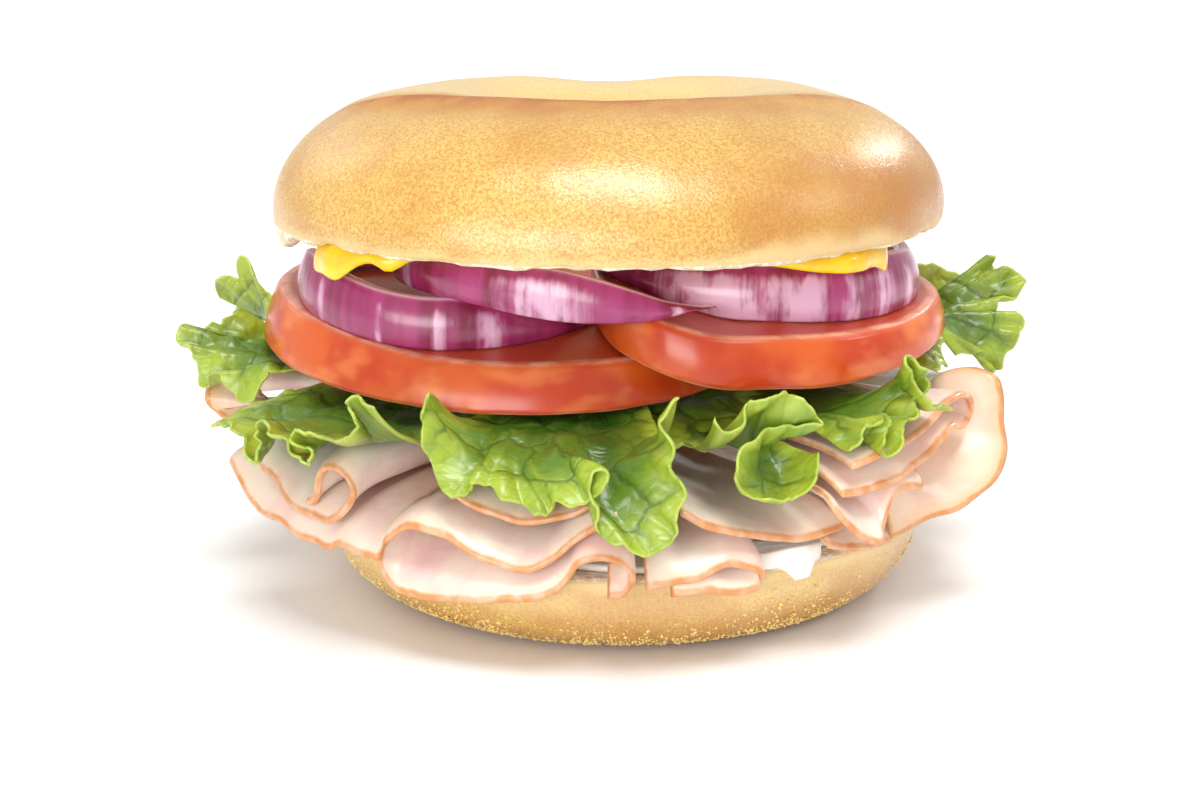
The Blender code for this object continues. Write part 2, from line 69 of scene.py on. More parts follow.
bl_info = {
    "name": "Ham sandwich",
    "version": (1, 0, 0),
    "blender": (4, 5, 0),
    "location": "3D View > Sidebar > Sandwich",
    "description": "Builds a bagel sandwich with ham and salad, and a small studio round it",
    "category": "Add Mesh",
}

MM = 0.001
IMAGE_WIDTH = 1200
SENSOR_WIDTH = 36
CAMERA_PLACE = (-1.46, -322.0, 109.1)
CAMERA_PITCH = 14.2
FLOOR_REACH = 3.0
WORLD_STRENGTH = 0.7
SUN_STRENGTH = 2.0
SUN_WIDTH = 28
SUN_TILT = 19
SUN_TURN = 8

# Sizes the frame was made to
CROWN_RADIUS = 53.5
HOLE_RADIUS = 13.0
CROWN_CUT_HEIGHT = 59.65
CROWN_WIDEST_HEIGHT = 61.5
CROWN_TOP_HEIGHT = 79.7
CROWN_CREST_RADIUS = 26.5
HEEL_RADIUS = 49.3
HEEL_FLAT_RADIUS = 35.5
HEEL_HEIGHT = 14.1
HEEL_CENTRE = (2.46, -3.03)
SPREAD_GAP = 0.3
MAYO_RADIUS = 46.0
MUSTARD_RADIUS = 45.0
SLOPE = 0.12
SLOPE_BEND = 6.0
TOMATO_BASE_HEIGHT = 40.9
TOMATO_LEFT_CENTRE = (-9.3, 0.5)
TOMATO_LEFT_RADIUS = 44.5
TOMATO_LEFT_THICK = 6.6
TOMATO_RIGHT_CENTRE = (15.0, -7.0)
TOMATO_RIGHT_RADIUS = 39.0
TOMATO_RIGHT_LEFT_REACH = 18.0
TOMATO_RIGHT_THICK = 7.2
TOMATO_RIGHT_BACK_THICK = 5.5
TOMATO_GAP = 0.7
ONION_WALL = 2.4
LEAF_LEVEL_GAP = 1.35
FAN_ROOT_SPAN = 12.0

# Sizes of the fine surfaces alone
CROWN_STRETCH = 1.017
CROWN_SHIFT = 0.3
CROWN_BACK_DIP = 1.7
CUT_EDGE = 1.2
CREST_LINE_START = 26.0
CREST_LINE_BEND = 0.0135
CREST_RIDGE = 0.5
TORN_AZIMUTH = -72
TORN_DEPTH = 2.6
HEEL_SIDE = ((HEEL_FLAT_RADIUS, HEEL_HEIGHT - 1), (HEEL_RADIUS - HEEL_FLAT_RADIUS, HEEL_HEIGHT - 1))
HEEL_LOWEST_TURN = -68
GRAIN_COUNT = 5200
GRAIN_RADII = (0.12, 0.3)
GRAIN_TURN_SPAN = 62
GRAIN_LOWEST = 0.45
FLOOR_GAP = 0.02
WELL_AZIMUTH = 28.5
WELL_REACH = 5.0
MUSTARD_SWELL = 5.4
MUSTARD_DRIPS = ((4.4, -59, 11.5), (1.9, -50.5, 3.5), (1.9, -40.5, 2.4), (1.6, 54.6, 3))
TURN_STEPS = 288
TURN_MAP_LENGTH = 300
MAP_UNIT = 100
MERGE_DISTANCE = 0.000002
SHORTEST_EDGE = 0.0000005
TOMATO_BOX_POWER = 2.6
ONION_STEP = 0.55
ONION_RISE = SPREAD_GAP * 0.4
HAM_SPACING = (0.6, 0.6)
HAM_SETTLE = 1.44
HAM_EDGE = 0.55
LEAF_SPACING = (0.42, 0.36)
LEAF_SETTLE = 1.98
LEAF_EDGE = 0.35
RUFFLE_LENGTH = 6.3
RUFFLE_DEPTH = 4.5
BLISTER_WIDTH = 6.4
BLISTER_LENGTH = 6.0
FAN_SEED = 40
LATTICE = (97, 89)
CELLS = (61, 67)

# Rims of the thin food. A sheet's rim starts at an azimuth and height, heads off at an angle
# (0 to the right, 90 up) and follows arcs of (length in mm, turn in degrees) on a cylinder of
# radius rim. A fan's outline lies in an upright plane, at reach from the axis on one side.
SHEET_SIZES = "name start height heading arcs rim inner_height squash inner_radius outward"
FAN_SIZES = "name side reach height heading arcs depths pivot_reach pivot_height root_reach sway"
Sheet = namedtuple("Sheet", SHEET_SIZES, defaults=[0])
Fan = namedtuple("Fan", FAN_SIZES)

HAM_SLICES = [
    Sheet("ham_front_fold", 1.55, 24.9, -160,
          [(10, 28), (10.5, -66), (7.7, -11), (13.5, 83), (9.6, 129), (22, 7), (5.7, 54), (9.1, -109),
           (7.2, -150)], 57.5, 21.0, 0.62, 32),
    Sheet("ham_front_top", -24.5, 26.4, -25, [(7.3, 8), (10, 37), (6, 6)], 56.0, 28.4, 0.3, 18),
    Sheet("ham_front_loop", 5.0, 14.1, 2, [(10.4, 16), (6.5, -42), (4.3, -137), (4.6, -36), (8.3, 23)],
          56.5, 19.0, 0.75, 36),
    Sheet("ham_right_low", 9.9, 24.7, -27, [(9.7, 9), (8.2, 12), (10.3, 22)], 57.0, 24.2, 0.3, 18),
    Sheet("ham_right_base", 33, 17.4, -20, [(4.7, 12), (9.3, 12)], 58.0, 20.0, 0.3, 18),
    Sheet("ham_right_tongue", 31.3, 24.5, -46, [(6.9, 4), (5, 38), (1.4, 102), (11.7, -127), (2.4, 150)],
          61.0, 26.0, 0.4, 44),
    Sheet("ham_right_fold", 33.8, 30.4, 3, [(19.6, 16), (14.8, -35), (6.9, -179), (14.8, 38), (20, -30)],
          61.5, 32.4, 0.6, 38),
    Sheet("ham_left_inner", -90.0, 20.5, 10, [(7, -20), (7, 20), (5, -10)], 51.0, 21.5, 0.3, 20),
    Sheet("ham_left_outer", -65.4, 24.5, -40,
          [(6.4, 2), (4.6, 29), (13.8, -6), (2.5, 60), (2.5, -62), (6.5, 12)], 62.0, 25.0, 0.3, 18, -6),
    Sheet("ham_left_roll", -67.5, 25.5, -6,
          [(6.6, -4), (7.3, -14), (11.7, 26), (8.3, 63), (4.9, 97), (8.5, 112), (4.2, -120)],
          61.0, 28.0, 0.7, 34),
]
LEAVES = [
    Sheet("leaf_middle", -26.5, 41.3, -113,
          [(15.4, 78), (4.9, 138), (0.4, -121), (12.3, -5), (0.6, 148), (2.4, -132), (8.8, 67), (2.8, 180),
           (17.9, 138), (2.4, 54), (14.4, 46), (7.2, -84)], 60.0, 0, 0.04, 20, 5),
    Sheet("leaf_left_low", -29, 41.4, 169,
          [(3.9, -11), (4.3, 200), (3.3, -133), (9.5, -73), (2.9, 60), (4.5, 151), (4.3, -225), (10.3, 44),
           (6.9, 154), (2.1, -173), (8.6, -21), (1.3, 49), (11, 7)], 66.8, 2, 0.04, 20),
    Sheet("leaf_front_right", 14.0, 39.9, -104,
          [(6.3, 179), (9.8, -106), (6.1, -13), (1.9, -150), (6.4, 17), (9.7, 80), (2.8, 62), (4, 11),
           (9, 75), (4.3, 60)], 59.5, 2, 0.04, 20),
    Sheet("leaf_inner", -4.0, 31.0, 4, [(12, -6), (14, 10), (12, -4)], 45.0, 1, 0.04, 24),
    Sheet("leaf_right", 33.5, 33.3, 41,
          [(6.7, -8), (5.6, -211), (2.1, 95), (4.3, 143), (9, -2), (2.1, 60), (5.5, 35), (1.4, 130),
           (11.7, 66), (2.5, -13)], 63.5, 1, 0.04, 20, 4),
    Sheet("leaf_right_side", 69.0, 37.0, 30, [(6, -60), (6, 70), (6, -50)], 55.0, 1, 0.04, 24),
]
SIDE_LEAVES = [
    Fan("leaf_left_back", -1, 56.0, 44.6, 50,
        [(8.8, 4), (0.4, -124), (3.9, -19), (0.8, 113), (3.4, -60), (4.6, -143), (4.5, 138), (0.7, -144),
         (4.6, -22)], (2, 12), 55.6, 38.0, 42.0, 0.3),
    Fan("leaf_left_top", -1, 57.7, 41.0, 33,
        [(6.8, -63), (2, 142), (0.9, -236), (3.6, 180), (4.5, -133), (0.9, -95), (7.9, 90), (3.6, -207),
         (4.6, 175), (6.8, -74)], (1, -19), 53.8, 37.2, 40.0, 0.6),
    Fan("leaf_right_back", 1, 51.4, 48.2, 24,
        [(9.1, -77), (3.2, 120), (4, -1), (2.4, -187), (2.3, 157), (8.7, -220), (6.6, 153), (1, 118),
         (6.5, -223), (6.6, 35), (2.5, -141), (7.9, 84)], (12, 0), 52.6, 41.4, 40.0, 0.4),
]
SIDE_HAM = [
    Fan("ham_left_tip", -1, 58.5, 35.0, 5, [(5, -20), (4, -70), (4, -60), (4, -40), (3, 0)],
        (-8, -12), 56.0, 29.5, 44.0, 0.6),
    Fan("ham_right_outer", 1, 53.6, 35.8, 26,
        [(8.2, -44), (0.8, -81), (5.3, 24), (18.3, -99), (6, 18), (5, -16)],
        (-14, -34), 41.0, 26.4, 38.0, 0.4),
]


def own_place():
    """Where the sandwich's own place lies in the frame, in mm, from the heel's box."""
    middle = np.mean(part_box("bagel_heel"), axis=0) / MM
    return np.array([middle[0] - HEEL_CENTRE[0], middle[1] - HEEL_CENTRE[1], 0.0])


def smooth(value):
    """0 below 0, 1 above 1 and 3t^2 - 2t^3 between."""
    value = np.clip(value, 0, 1)
    return value * value * (3 - 2 * value)


def bump(azimuth, centre, width):
    """A bell in azimuth: e to the minus (distance / width) squared."""
    away = (azimuth - centre + 180) % 360 - 180
    return np.exp(-((away / width) ** 2))


def wander(x, y, seed):
    """Smooth random heights, others for each seed: a lattice of -1..1 blended by S curves."""
    lattice = np.random.default_rng(seed).uniform(-1, 1, LATTICE)
    x, y = np.broadcast_arrays(np.asarray(x, float), np.asarray(y, float))
    column, row = np.floor(x).astype(int), np.floor(y).astype(int)
    across, up = smooth(x - column), smooth(y - row)

    def mixed(b):
        first, second = [lattice[(column + a) % LATTICE[0], (row + b) % LATTICE[1]] for a in (0, 1)]
        return first * (1 - across) + second * across

    return mixed(0) * (1 - up) + mixed(1) * up


def blisters(x, y, seed):
    """How far inside a cell of a jittered lattice a point is: second nearest less nearest."""
    jitter = np.random.default_rng(seed).uniform(0.12, 0.88, (*CELLS, 2))
    column, row = np.floor(x).astype(int), np.floor(y).astype(int)
    nearest = second = np.full(x.shape, 9.0)
    for a in (-1, 0, 1):
        for b in (-1, 0, 1):
            spot = jitter[(column + a) % CELLS[0], (row + b) % CELLS[1]]
            reach = np.hypot(column + a + spot[..., 0] - x, row + b + spot[..., 1] - y)
            second = np.minimum(second, np.maximum(nearest, reach))
            nearest = np.minimum(nearest, reach)
    return second - nearest


def unit(vectors):
    """A grid's vectors brought to length 1."""
    return vectors / np.maximum(np.linalg.norm(vectors, axis=2, keepdims=True), 1e-9)


def normals_of(points):
    """Unit normals of a grid: the cross product of its differences both ways."""
    return unit(np.cross(np.gradient(points, axis=0), np.gradient(points, axis=1)))


def travelled(steps):
    """How far along each point of a row is: nothing, then the running sum of the steps."""
    total = np.cumsum(steps, axis=-1)
    return np.concatenate([0 * total[..., :1], total], axis=-1)


def step_lengths(points, axis):
    """Distances between neighbours in a grid of points."""
    return np.linalg.norm(np.diff(points, axis=axis), axis=2)


def behind_crest(x, y):
    """How far a place lies behind the crown's crest line, a parabola across the front."""
    return y + CREST_LINE_START - CREST_LINE_BEND * x * x


def slope_rise(y):
    """The salad's slope: minus slope times bend times log(1 + e^(-(y + 5) / bend))."""
    return -SLOPE * SLOPE_BEND * np.log1p(np.exp(-(y + 5) / SLOPE_BEND))


def right_slice_base(x, y):
    """Underside of the right tomato slice: the slope, plus the left slice, less two S curves in x."""
    rise = TOMATO_LEFT_THICK + TOMATO_GAP - 2.95 * smooth(x / 20) - 0.9 * smooth((x - 20) / 16)
    return TOMATO_BASE_HEIGHT + slope_rise(y) + rise


def left_slice_top(x, y):
    """Top of the left tomato slice: a gap below the right slice, and 1.6 mm more at its left end."""
    return right_slice_base(x, y) - TOMATO_GAP + 1.6 * smooth((-x - 25) / 25)


def right_slice_top(x, y):
    """Top of the right tomato slice, which thins towards the back and by 1 mm at its right end."""
    thin = 1 - (1 - TOMATO_RIGHT_BACK_THICK / TOMATO_RIGHT_THICK) * smooth((y + 38) / 45)
    return right_slice_base(x, y) + TOMATO_RIGHT_THICK * thin - smooth((x - 30) / 16)


def rim_path(piece, start, spacing):
    """(mm along, height) evenly down a rim of arcs, each turning steadily over its length.

    Three times, each point is then averaged with its neighbours 1:2:1, the ends kept.
    """
    along, up, direction = start, piece.height, math.radians(piece.heading)
    path = [(along, up)]
    for length, turn in piece.arcs:
        steps = max(2, math.ceil(abs(turn) / 8), math.ceil(length / 0.5))
        half_turn = math.radians(turn) / steps / 2
        for _ in range(steps):
            direction += half_turn
            along += length / steps * math.cos(direction)
            up += length / steps * math.sin(direction)
            direction += half_turn
            path.append((along, up))
    path = np.array(path)
    length = travelled(np.hypot(*np.diff(path, axis=0).T))
    even = np.linspace(0, length[-1], max(12, round(length[-1] / spacing)))
    path = np.stack([np.interp(even, length, path[:, k]) for k in (0, 1)], axis=1)
    for _ in range(3):
        path[1:-1] = (path[:-2] + 2 * path[1:-1] + path[2:]) / 4
    return path, even


def sheet_middle(piece, path, inward, settle, is_leaf):
    """Middle surface of a thin food that drapes in from its rim.

    The radius falls from rim to inner_radius with inward^1.5. The height goes to inner_height
    with 1 - (1 - inward)^3.5, while an S curve squashes the rim's folds to a share squash.
    A leaf also unfolds: its rows slide to an even spread between the rim's two ends. Its
    inner_height isn't a height but how many levels it lies below the tomato's underside.
    """
    along, height = path[:, :1], path[:, 1:]
    share = np.linspace(0, 1, len(path))[:, None]
    if is_leaf:
        along = along + (path[0, 0] + (path[-1, 0] - path[0, 0]) * share - along) * smooth(inward / 0.35)
    azimuth = np.radians(piece.start + np.degrees(along / piece.rim))
    radius = piece.rim - (piece.rim - piece.inner_radius) * inward**1.5
    radius = radius + piece.outward * (share - 0.5) * (1 - inward)
    x, y = radius * np.sin(azimuth), -radius * np.cos(azimuth)
    inner = piece.inner_height
    if is_leaf:
        below = 1.3 + LEAF_LEVEL_GAP * piece.inner_height
        inner = TOMATO_BASE_HEIGHT - below + slope_rise(y) + 2.4 * smooth((x - 24) / 10)
    middle = height.mean()
    squash = 1 + (piece.squash - 1) * smooth(inward * settle)
    z = middle + (height - middle) * squash + (inner - middle) * (1 - (1 - inward) ** 3.5)
    return np.stack(np.broadcast_arrays(x, y, z), axis=2)


def fan_middle(piece, path, inward):
    """Middle surface of a side piece: outline to pivot line over two thirds, then level in.

    The outline closes up to the pivot as the way in to the power 0.8, and sways in 3.5 sines.
    """
    out, height = path[:, :1], path[:, 1:]
    share = np.linspace(0, 1, len(path))[:, None]
    to_pivot = np.clip(inward * 1.5, 0, 1)
    past = np.clip(inward * 3 - 2, 0, 1)
    ease = to_pivot**0.8
    out = out + (piece.pivot_reach - out) * ease + (piece.root_reach - piece.pivot_reach) * past
    z = height + (piece.pivot_height - height) * ease
    ripple = piece.sway * np.sin(share * math.tau * 3.5) * (1 - to_pivot)
    first, last = piece.depths
    span = (last - first) * (1 - past) + math.copysign(FAN_ROOT_SPAN, last - first) * past
    y = (first + last) / 2 + span * (share - 0.5) + ripple
    return np.stack(np.broadcast_arrays(piece.side * out, y, z), axis=2)


def thin_food(sheets, fans, inward, spacing, settle, is_leaf):
    """Each sheet and fan in turn, with its middle surface, the way along its rim and a seed."""
    for seed, piece in enumerate(sheets):
        path, along = rim_path(piece, 0, spacing[0])
        yield piece, sheet_middle(piece, path, inward, settle, is_leaf), along[:, None], seed
    for seed, piece in enumerate(fans, FAN_SEED):
        path, along = rim_path(piece, piece.reach, spacing[1])
        yield piece, fan_middle(piece, path, inward), along[:, None], seed


def looped(values, more=0):
    """A front face's values, repeated down the back face in order, and more of the first again."""
    return np.concatenate([values, values[:, -2:0:-1], values[:, :more]], axis=1)


def pushed(middle, lift, reach, near):
    """A surface lifted along its normals, then pushed out along its last steps to the rim."""
    middle = middle + normals_of(middle) * lift[..., None]
    return middle + unit(middle[:, :1] - middle[:, near : near + 1]) * reach[..., None]


def add_thin(name, middle, along, spots, thick, edge, corner, marks, material):
    """Adds a thin food round its middle surface, with the distance to its rim as a mark.

    Each face is the middle plus or minus half the thickness along the normal. The thickness
    falls to nothing at the edges as a quarter circle: the root of 1 - (1 - d / edge)^2.
    """
    inward = travelled(step_lengths(middle, 1))
    way = travelled(step_lengths(middle[:, : middle.shape[1] // 2], 0).mean(axis=1))[:, None]
    gap = np.minimum(np.minimum(inward, inward[:, -1:] - inward), np.minimum(way, way[-1] - way))
    half = thick / MM / 2 * np.sqrt(1 - (1 - np.clip(gap / edge, 0, 1)) ** 2)
    offset = normals_of(middle) * half[..., None]
    points = np.concatenate([middle + offset, (middle - offset)[:, -2:0:-1]], axis=1)
    side = np.minimum(along, along[-1] - along) + corner
    marks = {"rim": looped(np.minimum(inward, side)), **marks}
    across, down = spots or (along + 0 * inward, inward)
    add_surface(name, points, (looped(across, 1), looped(down, 1)), marks, material)


def add_surface(name, points, spots, marks, material, wrap_across=False, wrap_down=True):
    """A closed piece over a grid of points in mm, with a surface map in mm and named marks.

    Quads join each point to the next across and down. The map's grid has one column or row
    more where the points wrap round. Poles and pinched edges are merged, and the winding is
    turned round where the enclosed volume comes out negative.
    """
    columns, rows = points.shape[:2]
    i = np.arange(columns if wrap_across else columns - 1)
    j = np.arange(rows if wrap_down else rows - 1)
    i, j = [k.ravel() for k in np.meshgrid(i, j, indexing="ij")]
    corners_i = np.stack([i, i + 1, i + 1, i], axis=1)
    corners_j = np.stack([j, j, j + 1, j + 1], axis=1)
    quads = (corners_i % columns) * rows + corners_j % rows
    place = (points.reshape(-1, 3) + own_place()) * MM
    a, b, c, d = [place[quads[:, k]] - place.mean(axis=0) for k in range(4)]
    volume = np.einsum("ij,ij->i", np.cross(a, b), c).sum() + np.einsum("ij,ij->i", np.cross(a, c), d).sum()
    if volume < 0:
        quads, corners_i, corners_j = quads[:, ::-1], corners_i[:, ::-1], corners_j[:, ::-1]
    mesh = bpy.data.meshes.new(name)
    mesh.vertices.add(len(place))
    mesh.vertices.foreach_set("co", place.astype(np.float32).ravel())
    mesh.loops.add(quads.size)
    mesh.loops.foreach_set("vertex_index", quads.astype(np.int32).ravel())
    mesh.polygons.add(len(quads))
    mesh.polygons.foreach_set("loop_start", np.arange(0, quads.size, 4, dtype=np.int32))
    mesh.update(calc_edges=True)
    spots = np.stack(np.broadcast_arrays(*spots), axis=2)[corners_i, corners_j] / MAP_UNIT
    mesh.uv_layers.new(name="surface").data.foreach_set("uv", spots.astype(np.float32).ravel())
    for label, values in marks.items():
        attribute = mesh.attributes.new(label, "FLOAT", "POINT")
        values = np.broadcast_to(values, (columns, rows))
        attribute.data.foreach_set("value", values.astype(np.float32).ravel())
    work = bmesh.new()
    work.from_mesh(mesh)
    bmesh.ops.remove_doubles(work, verts=work.verts, dist=MERGE_DISTANCE)
    bmesh.ops.dissolve_degenerate(work, edges=work.edges, dist=SHORTEST_EDGE)
    for face in work.faces:
        face.smooth = True
    work.to_mesh(mesh)
    work.free()
    add_piece(name + "_fine", mesh, material, name)


def link(name, data):
    """Puts an object at the origin into the scene."""
    thing = bpy.data.objects.new(name, data)
    bpy.context.scene.collection.objects.link(thing)
    return thing


def add_piece(name, mesh, material, node=""):
    """Links a mesh as a piece that rides on the sandwich and stands for a node."""
    piece = link(name, mesh)
    mesh.materials.append(material)
    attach(piece, "root")
    if node:
        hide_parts(node)


def ellipse(centre, size, degrees):
    """Points round a centre: size times the cosine and the sine of an angle."""
    turn = np.radians(degrees)
    return np.stack([centre[0] + size[0] * np.cos(turn), centre[1] + size[1] * np.sin(turn)])


def section(*parts):
    """A profile's radius and height, from parts that each give both, as arrays or one number."""
    return [np.concatenate(side) for side in zip(*(np.broadcast_arrays(*part) for part in parts))]


def turned_piece(name, profile, rule, material, marks=None):
    """A profile of radius and height turned round Z in even steps and moved by a rule."""
    radius, height = profile
    count = np.arange(TURN_STEPS + 1)[:, None]
    turn = count[:-1] * math.tau / TURN_STEPS
    x, y = radius * np.sin(turn), -radius * np.cos(turn)
    azimuth, out = np.degrees(np.arctan2(x, -y)), np.hypot(x, y)
    points = np.stack(np.broadcast_arrays(*rule(x, y, height + 0 * x, azimuth, out)), axis=2)
    length = travelled(np.hypot(np.diff(radius), np.diff(height)))
    spots = (count / TURN_STEPS * TURN_MAP_LENGTH, np.append(length, length[-1] + 1)[None, :])
    add_surface(name, points, spots, marks or {}, material, True, radius[0] > 0.01)


def tone(*channels):
    """A picture colour of 0-255 as the shader's linear values."""
    shares = [channel / 255 for channel in channels]
    return tuple(s / 12.92 if s <= 0.04045 else ((s + 0.055) / 1.055) ** 2.4 for s in shares)


class Wire:
    """A shader socket that takes part in Python arithmetic by adding Math nodes."""

    def __init__(self, recipe, socket):
        self.recipe = recipe
        self.socket = socket

    def math(self, operation, *values):
        return self.recipe.output("ShaderNodeMath", 0, {"operation": operation}, dict(enumerate(values)))

    def __add__(self, other):
        return self.math("ADD", self, other)

    def __sub__(self, other):
        return self.math("SUBTRACT", self, other)

    def __rsub__(self, other):
        return self.math("SUBTRACT", other, self)

    def __mul__(self, other):
        return self.math("MULTIPLY", self, other)

    def __truediv__(self, other):
        return self.math("DIVIDE", self, other)

    def __pow__(self, other):
        return self.math("POWER", self, other)

    __radd__ = __add__
    __rmul__ = __mul__


class Recipe:
    """One food's material: a Principled surface with nodes added by one method.

    Its patterns lie on the object's own place or, where mapped, on the piece's surface map, and
    x, y and z are that place in mm. Its colours are named after the settings.
    """

    def __init__(self, name, settings, mapped=False):
        self.settings = settings
        self.material = bpy.data.materials.new(name)
        self.material.use_nodes = True
        self.tree = self.material.node_tree
        if mapped:
            self.unit = 1 / MAP_UNIT
            self.place = self.output("ShaderNodeUVMap", "UV", {"uv_map": "surface"})
        else:
            self.unit = MM
            self.place = self.output("ShaderNodeTexCoord", "Object")
        split = self.node("ShaderNodeSeparateXYZ", {}, {0: self.place})
        self.x, self.y, self.z = [Wire(self, socket) / self.unit for socket in split.outputs]

    def node(self, kind, settings, inputs):
        """Adds a node: its settings first, then the values or links of its sockets."""
        node = self.tree.nodes.new(kind)
        for key, value in settings.items():
            setattr(node, key, value)
        self.feed(node, inputs)
        return node

    def feed(self, node, inputs):
        """Links a socket to each wire and sets it to any other value."""
        for key, value in inputs.items():
            if isinstance(value, Wire):
                self.tree.links.new(value.socket, node.inputs[key])
            else:
                node.inputs[key].default_value = value

    def output(self, kind, name, settings=None, inputs=None):
        return Wire(self, self.node(kind, settings or {}, inputs or {}).outputs[name])

    def noise(self, size, detail=3.0, stretch=(1, 1, 1), rough=0.5):
        """Noise of 0..1 whose spots are about size mm across, longer where stretch is over 1."""
        scale = [1 / (size * self.unit) / s for s in stretch]
        moved = self.output("ShaderNodeMapping", "Vector", {}, {0: self.place, 3: scale})
        return self.output("ShaderNodeTexNoise", "Fac", {},
                           {"Vector": moved, "Scale": 1.0, "Detail": detail, "Roughness": rough})

    def cells(self, coords, size):
        """The distance to the nearest cell wall, in shares of cells about size mm across."""
        return self.output("ShaderNodeTexVoronoi", "Distance",
                           {"feature": "DISTANCE_TO_EDGE", "voronoi_dimensions": "2D"},
                           {"Vector": coords, "Scale": 1 / size})

    def mark(self, name):
        return self.output("ShaderNodeAttribute", "Fac", {"attribute_name": name})

    def between(self, value, low, high):
        """0 where value is low and 1 where it is high, by an S curve."""
        return self.output("ShaderNodeMapRange", "Result", {"interpolation_type": "SMOOTHSTEP"},
                           {"Value": value, "From Min": low, "From Max": high})

    def coats(self, colour, *coats):
        """A colour with others laid over it in turn, each a row that ends with the colour.

        A row starts with the share that the colour covers, or else with a value, the low and the
        high that it runs between and the largest share.
        """
        for *mask, over in coats:
            share = mask[0] if len(mask) == 1 else self.between(*mask[:3]) * mask[3]
            pair = [c if isinstance(c, Wire) else (*getattr(self.settings, c), 1.0) for c in (colour, over)]
            colour = self.output("ShaderNodeMix", 2, {"data_type": "RGBA"},
                                 {0: share, 6: pair[0], 7: pair[1]})
        return colour

    def finish(self, colour, roughness, relief=None, scatter=(0, 0), coat=(0, 0.03), specular=0.5):
        """Feeds the Principled sockets, with what is constant set on the shader itself.

        Relief is a height of 0..1 and its depth in mm, scatter is a weight and a distance in mm,
        and coat is a weight and a roughness.
        """
        inputs = {"Base Color": colour, "Roughness": roughness, "Specular IOR Level": specular,
                  "Coat Weight": coat[0], "Coat Roughness": coat[1],
                  "Subsurface Weight": scatter[0], "Subsurface Scale": scatter[1] * MM}
        if relief:
            inputs["Normal"] = self.output("ShaderNodeBump", "Normal", {}, {
                "Strength": 1.0, "Height": relief[0], "Distance": relief[1] * MM})
        self.feed(self.tree.nodes["Principled BSDF"], inputs)
        return self.material


def crust_material(settings, name, centre, is_crown):
    """Baked crust: golden, finely mottled, toasted in places and pale near the cut."""
    r = Recipe(name, settings)
    x, y, z = r.x - centre[0], r.y - centre[1], r.z
    grain = r.noise(0.42, 2.0, rough=0.7)
    speck = r.noise(0.7, rough=0.7)
    cloud = r.noise(12, 4.0)
    golden = r.coats("crust", (grain, 0.42, 0.6, 0.8, "crust_dark"), (cloud, 0.44, 0.7, 0.5, "crust_dark"),
                     (speck, 0.56, 0.72, 0.4, "crust_pale"))
    if is_crown:
        behind = behind_crest(x, y)
        patchy = 0.4 + 0.8 * r.between(r.noise(8), 0.38, 0.62)
        near = r.between(x * x, 2100, 1100) * r.between(z, 73, 76) * (0.5 + 0.5 * r.between(x, 14, -6))
        band = r.between(behind, -15, -1) * r.between(behind + 6 * cloud, 9, 3) * near
        line = r.between(behind, -4.0, -0.6) * r.between(behind, 4.0, 0.2) * near
        side = r.between(x, 6, 34) * r.between(z, 77, 71) * r.between(y, 14, -10)
        rear = r.between(behind + 8 * cloud, 5, 15) * r.between(z + 6 * cloud, 73, 81)
        golden = r.coats(golden, (band * 0.8, "crust_dark"), (band * patchy * 0.6, "crust_toasted"),
                         (line * patchy * 0.9, "crust_toasted"), (side * 0.7, "crust_dark"),
                         (side * r.between(cloud, 0.35, 0.65) * 0.35, "crust_toasted"),
                         (rear * 0.65, "crust_pale"))
        flour = 0.2 + 0.8 * r.between(x, 14, 26) * r.between(x, 46, 38)
        above = z - CROWN_CUT_HEIGHT
        pale = r.between(above + 3.0 * r.noise(6, 4.0), 3.0 + 2.6 * flour, 1.4 + flour)
        crumb = r.between(above + 0.5 * speck, 0.55, 0.3)
        dull = 0.4 * band
    else:
        golden = r.coats(golden, (z, 4, 11, 0.5, "crust_pale"),
                         (z + 9 * cloud, 10, 5.5, 0.4, "crust_toasted"),
                         (r.noise(17, 2.0), 0.46, 0.62, 0.3, "crust_toasted"))
        pale = r.between(z + 2.5 * r.noise(8), HEEL_HEIGHT - 1.5, HEEL_HEIGHT + 0.6)
        crumb = r.between(z, HEEL_HEIGHT - 0.5, HEEL_HEIGHT - 0.2)
        dull = 0.0
    pores = r.between(r.noise(1.3), 0.42, 0.55)
    bread = r.coats("crumb_shadow", (pores, "crumb"))
    colour = r.coats(golden, (pale * 0.6, "crust_pale"), (crumb, bread))
    height = grain * 0.5 + speck * 0.5 + pores * crumb * 1.2
    rough = 0.23 + 0.16 * r.between(speck, 0.3, 0.8) + 0.4 * crumb + 0.15 * pale + dull
    return r.finish(colour, rough, (height, 0.13), scatter=(0.06, 2), specular=1.0)


def cornmeal_material(settings):
    """Dry yellow grains, some pale and some brown."""
    r = Recipe("cornmeal", settings)
    colour = r.coats("cornmeal", (r.noise(1.1, 1.0), 0.55, 0.75, 0.7, "crust_dark"),
                     (r.noise(2.3, 2.0), 0.5, 0.65, 1, "crust_pale"))
    return r.finish(colour, 0.6 + 0.1 * r.noise(0.3, 1.0), scatter=(0.1, 0.5))


def spread_material(settings, name):
    """A wet smooth spread, a little deeper in colour in patches."""
    r = Recipe(name + "_fine", settings)
    patch = r.noise(5)
    colour = r.coats(name, (patch, 0.4, 0.75, 1, name + "_deep"))
    return r.finish(colour, 0.16 + 0.14 * patch, (r.noise(2.2, 2.0), 0.12),
                    scatter=(0.15, 2), coat=(0.4, 0.08))


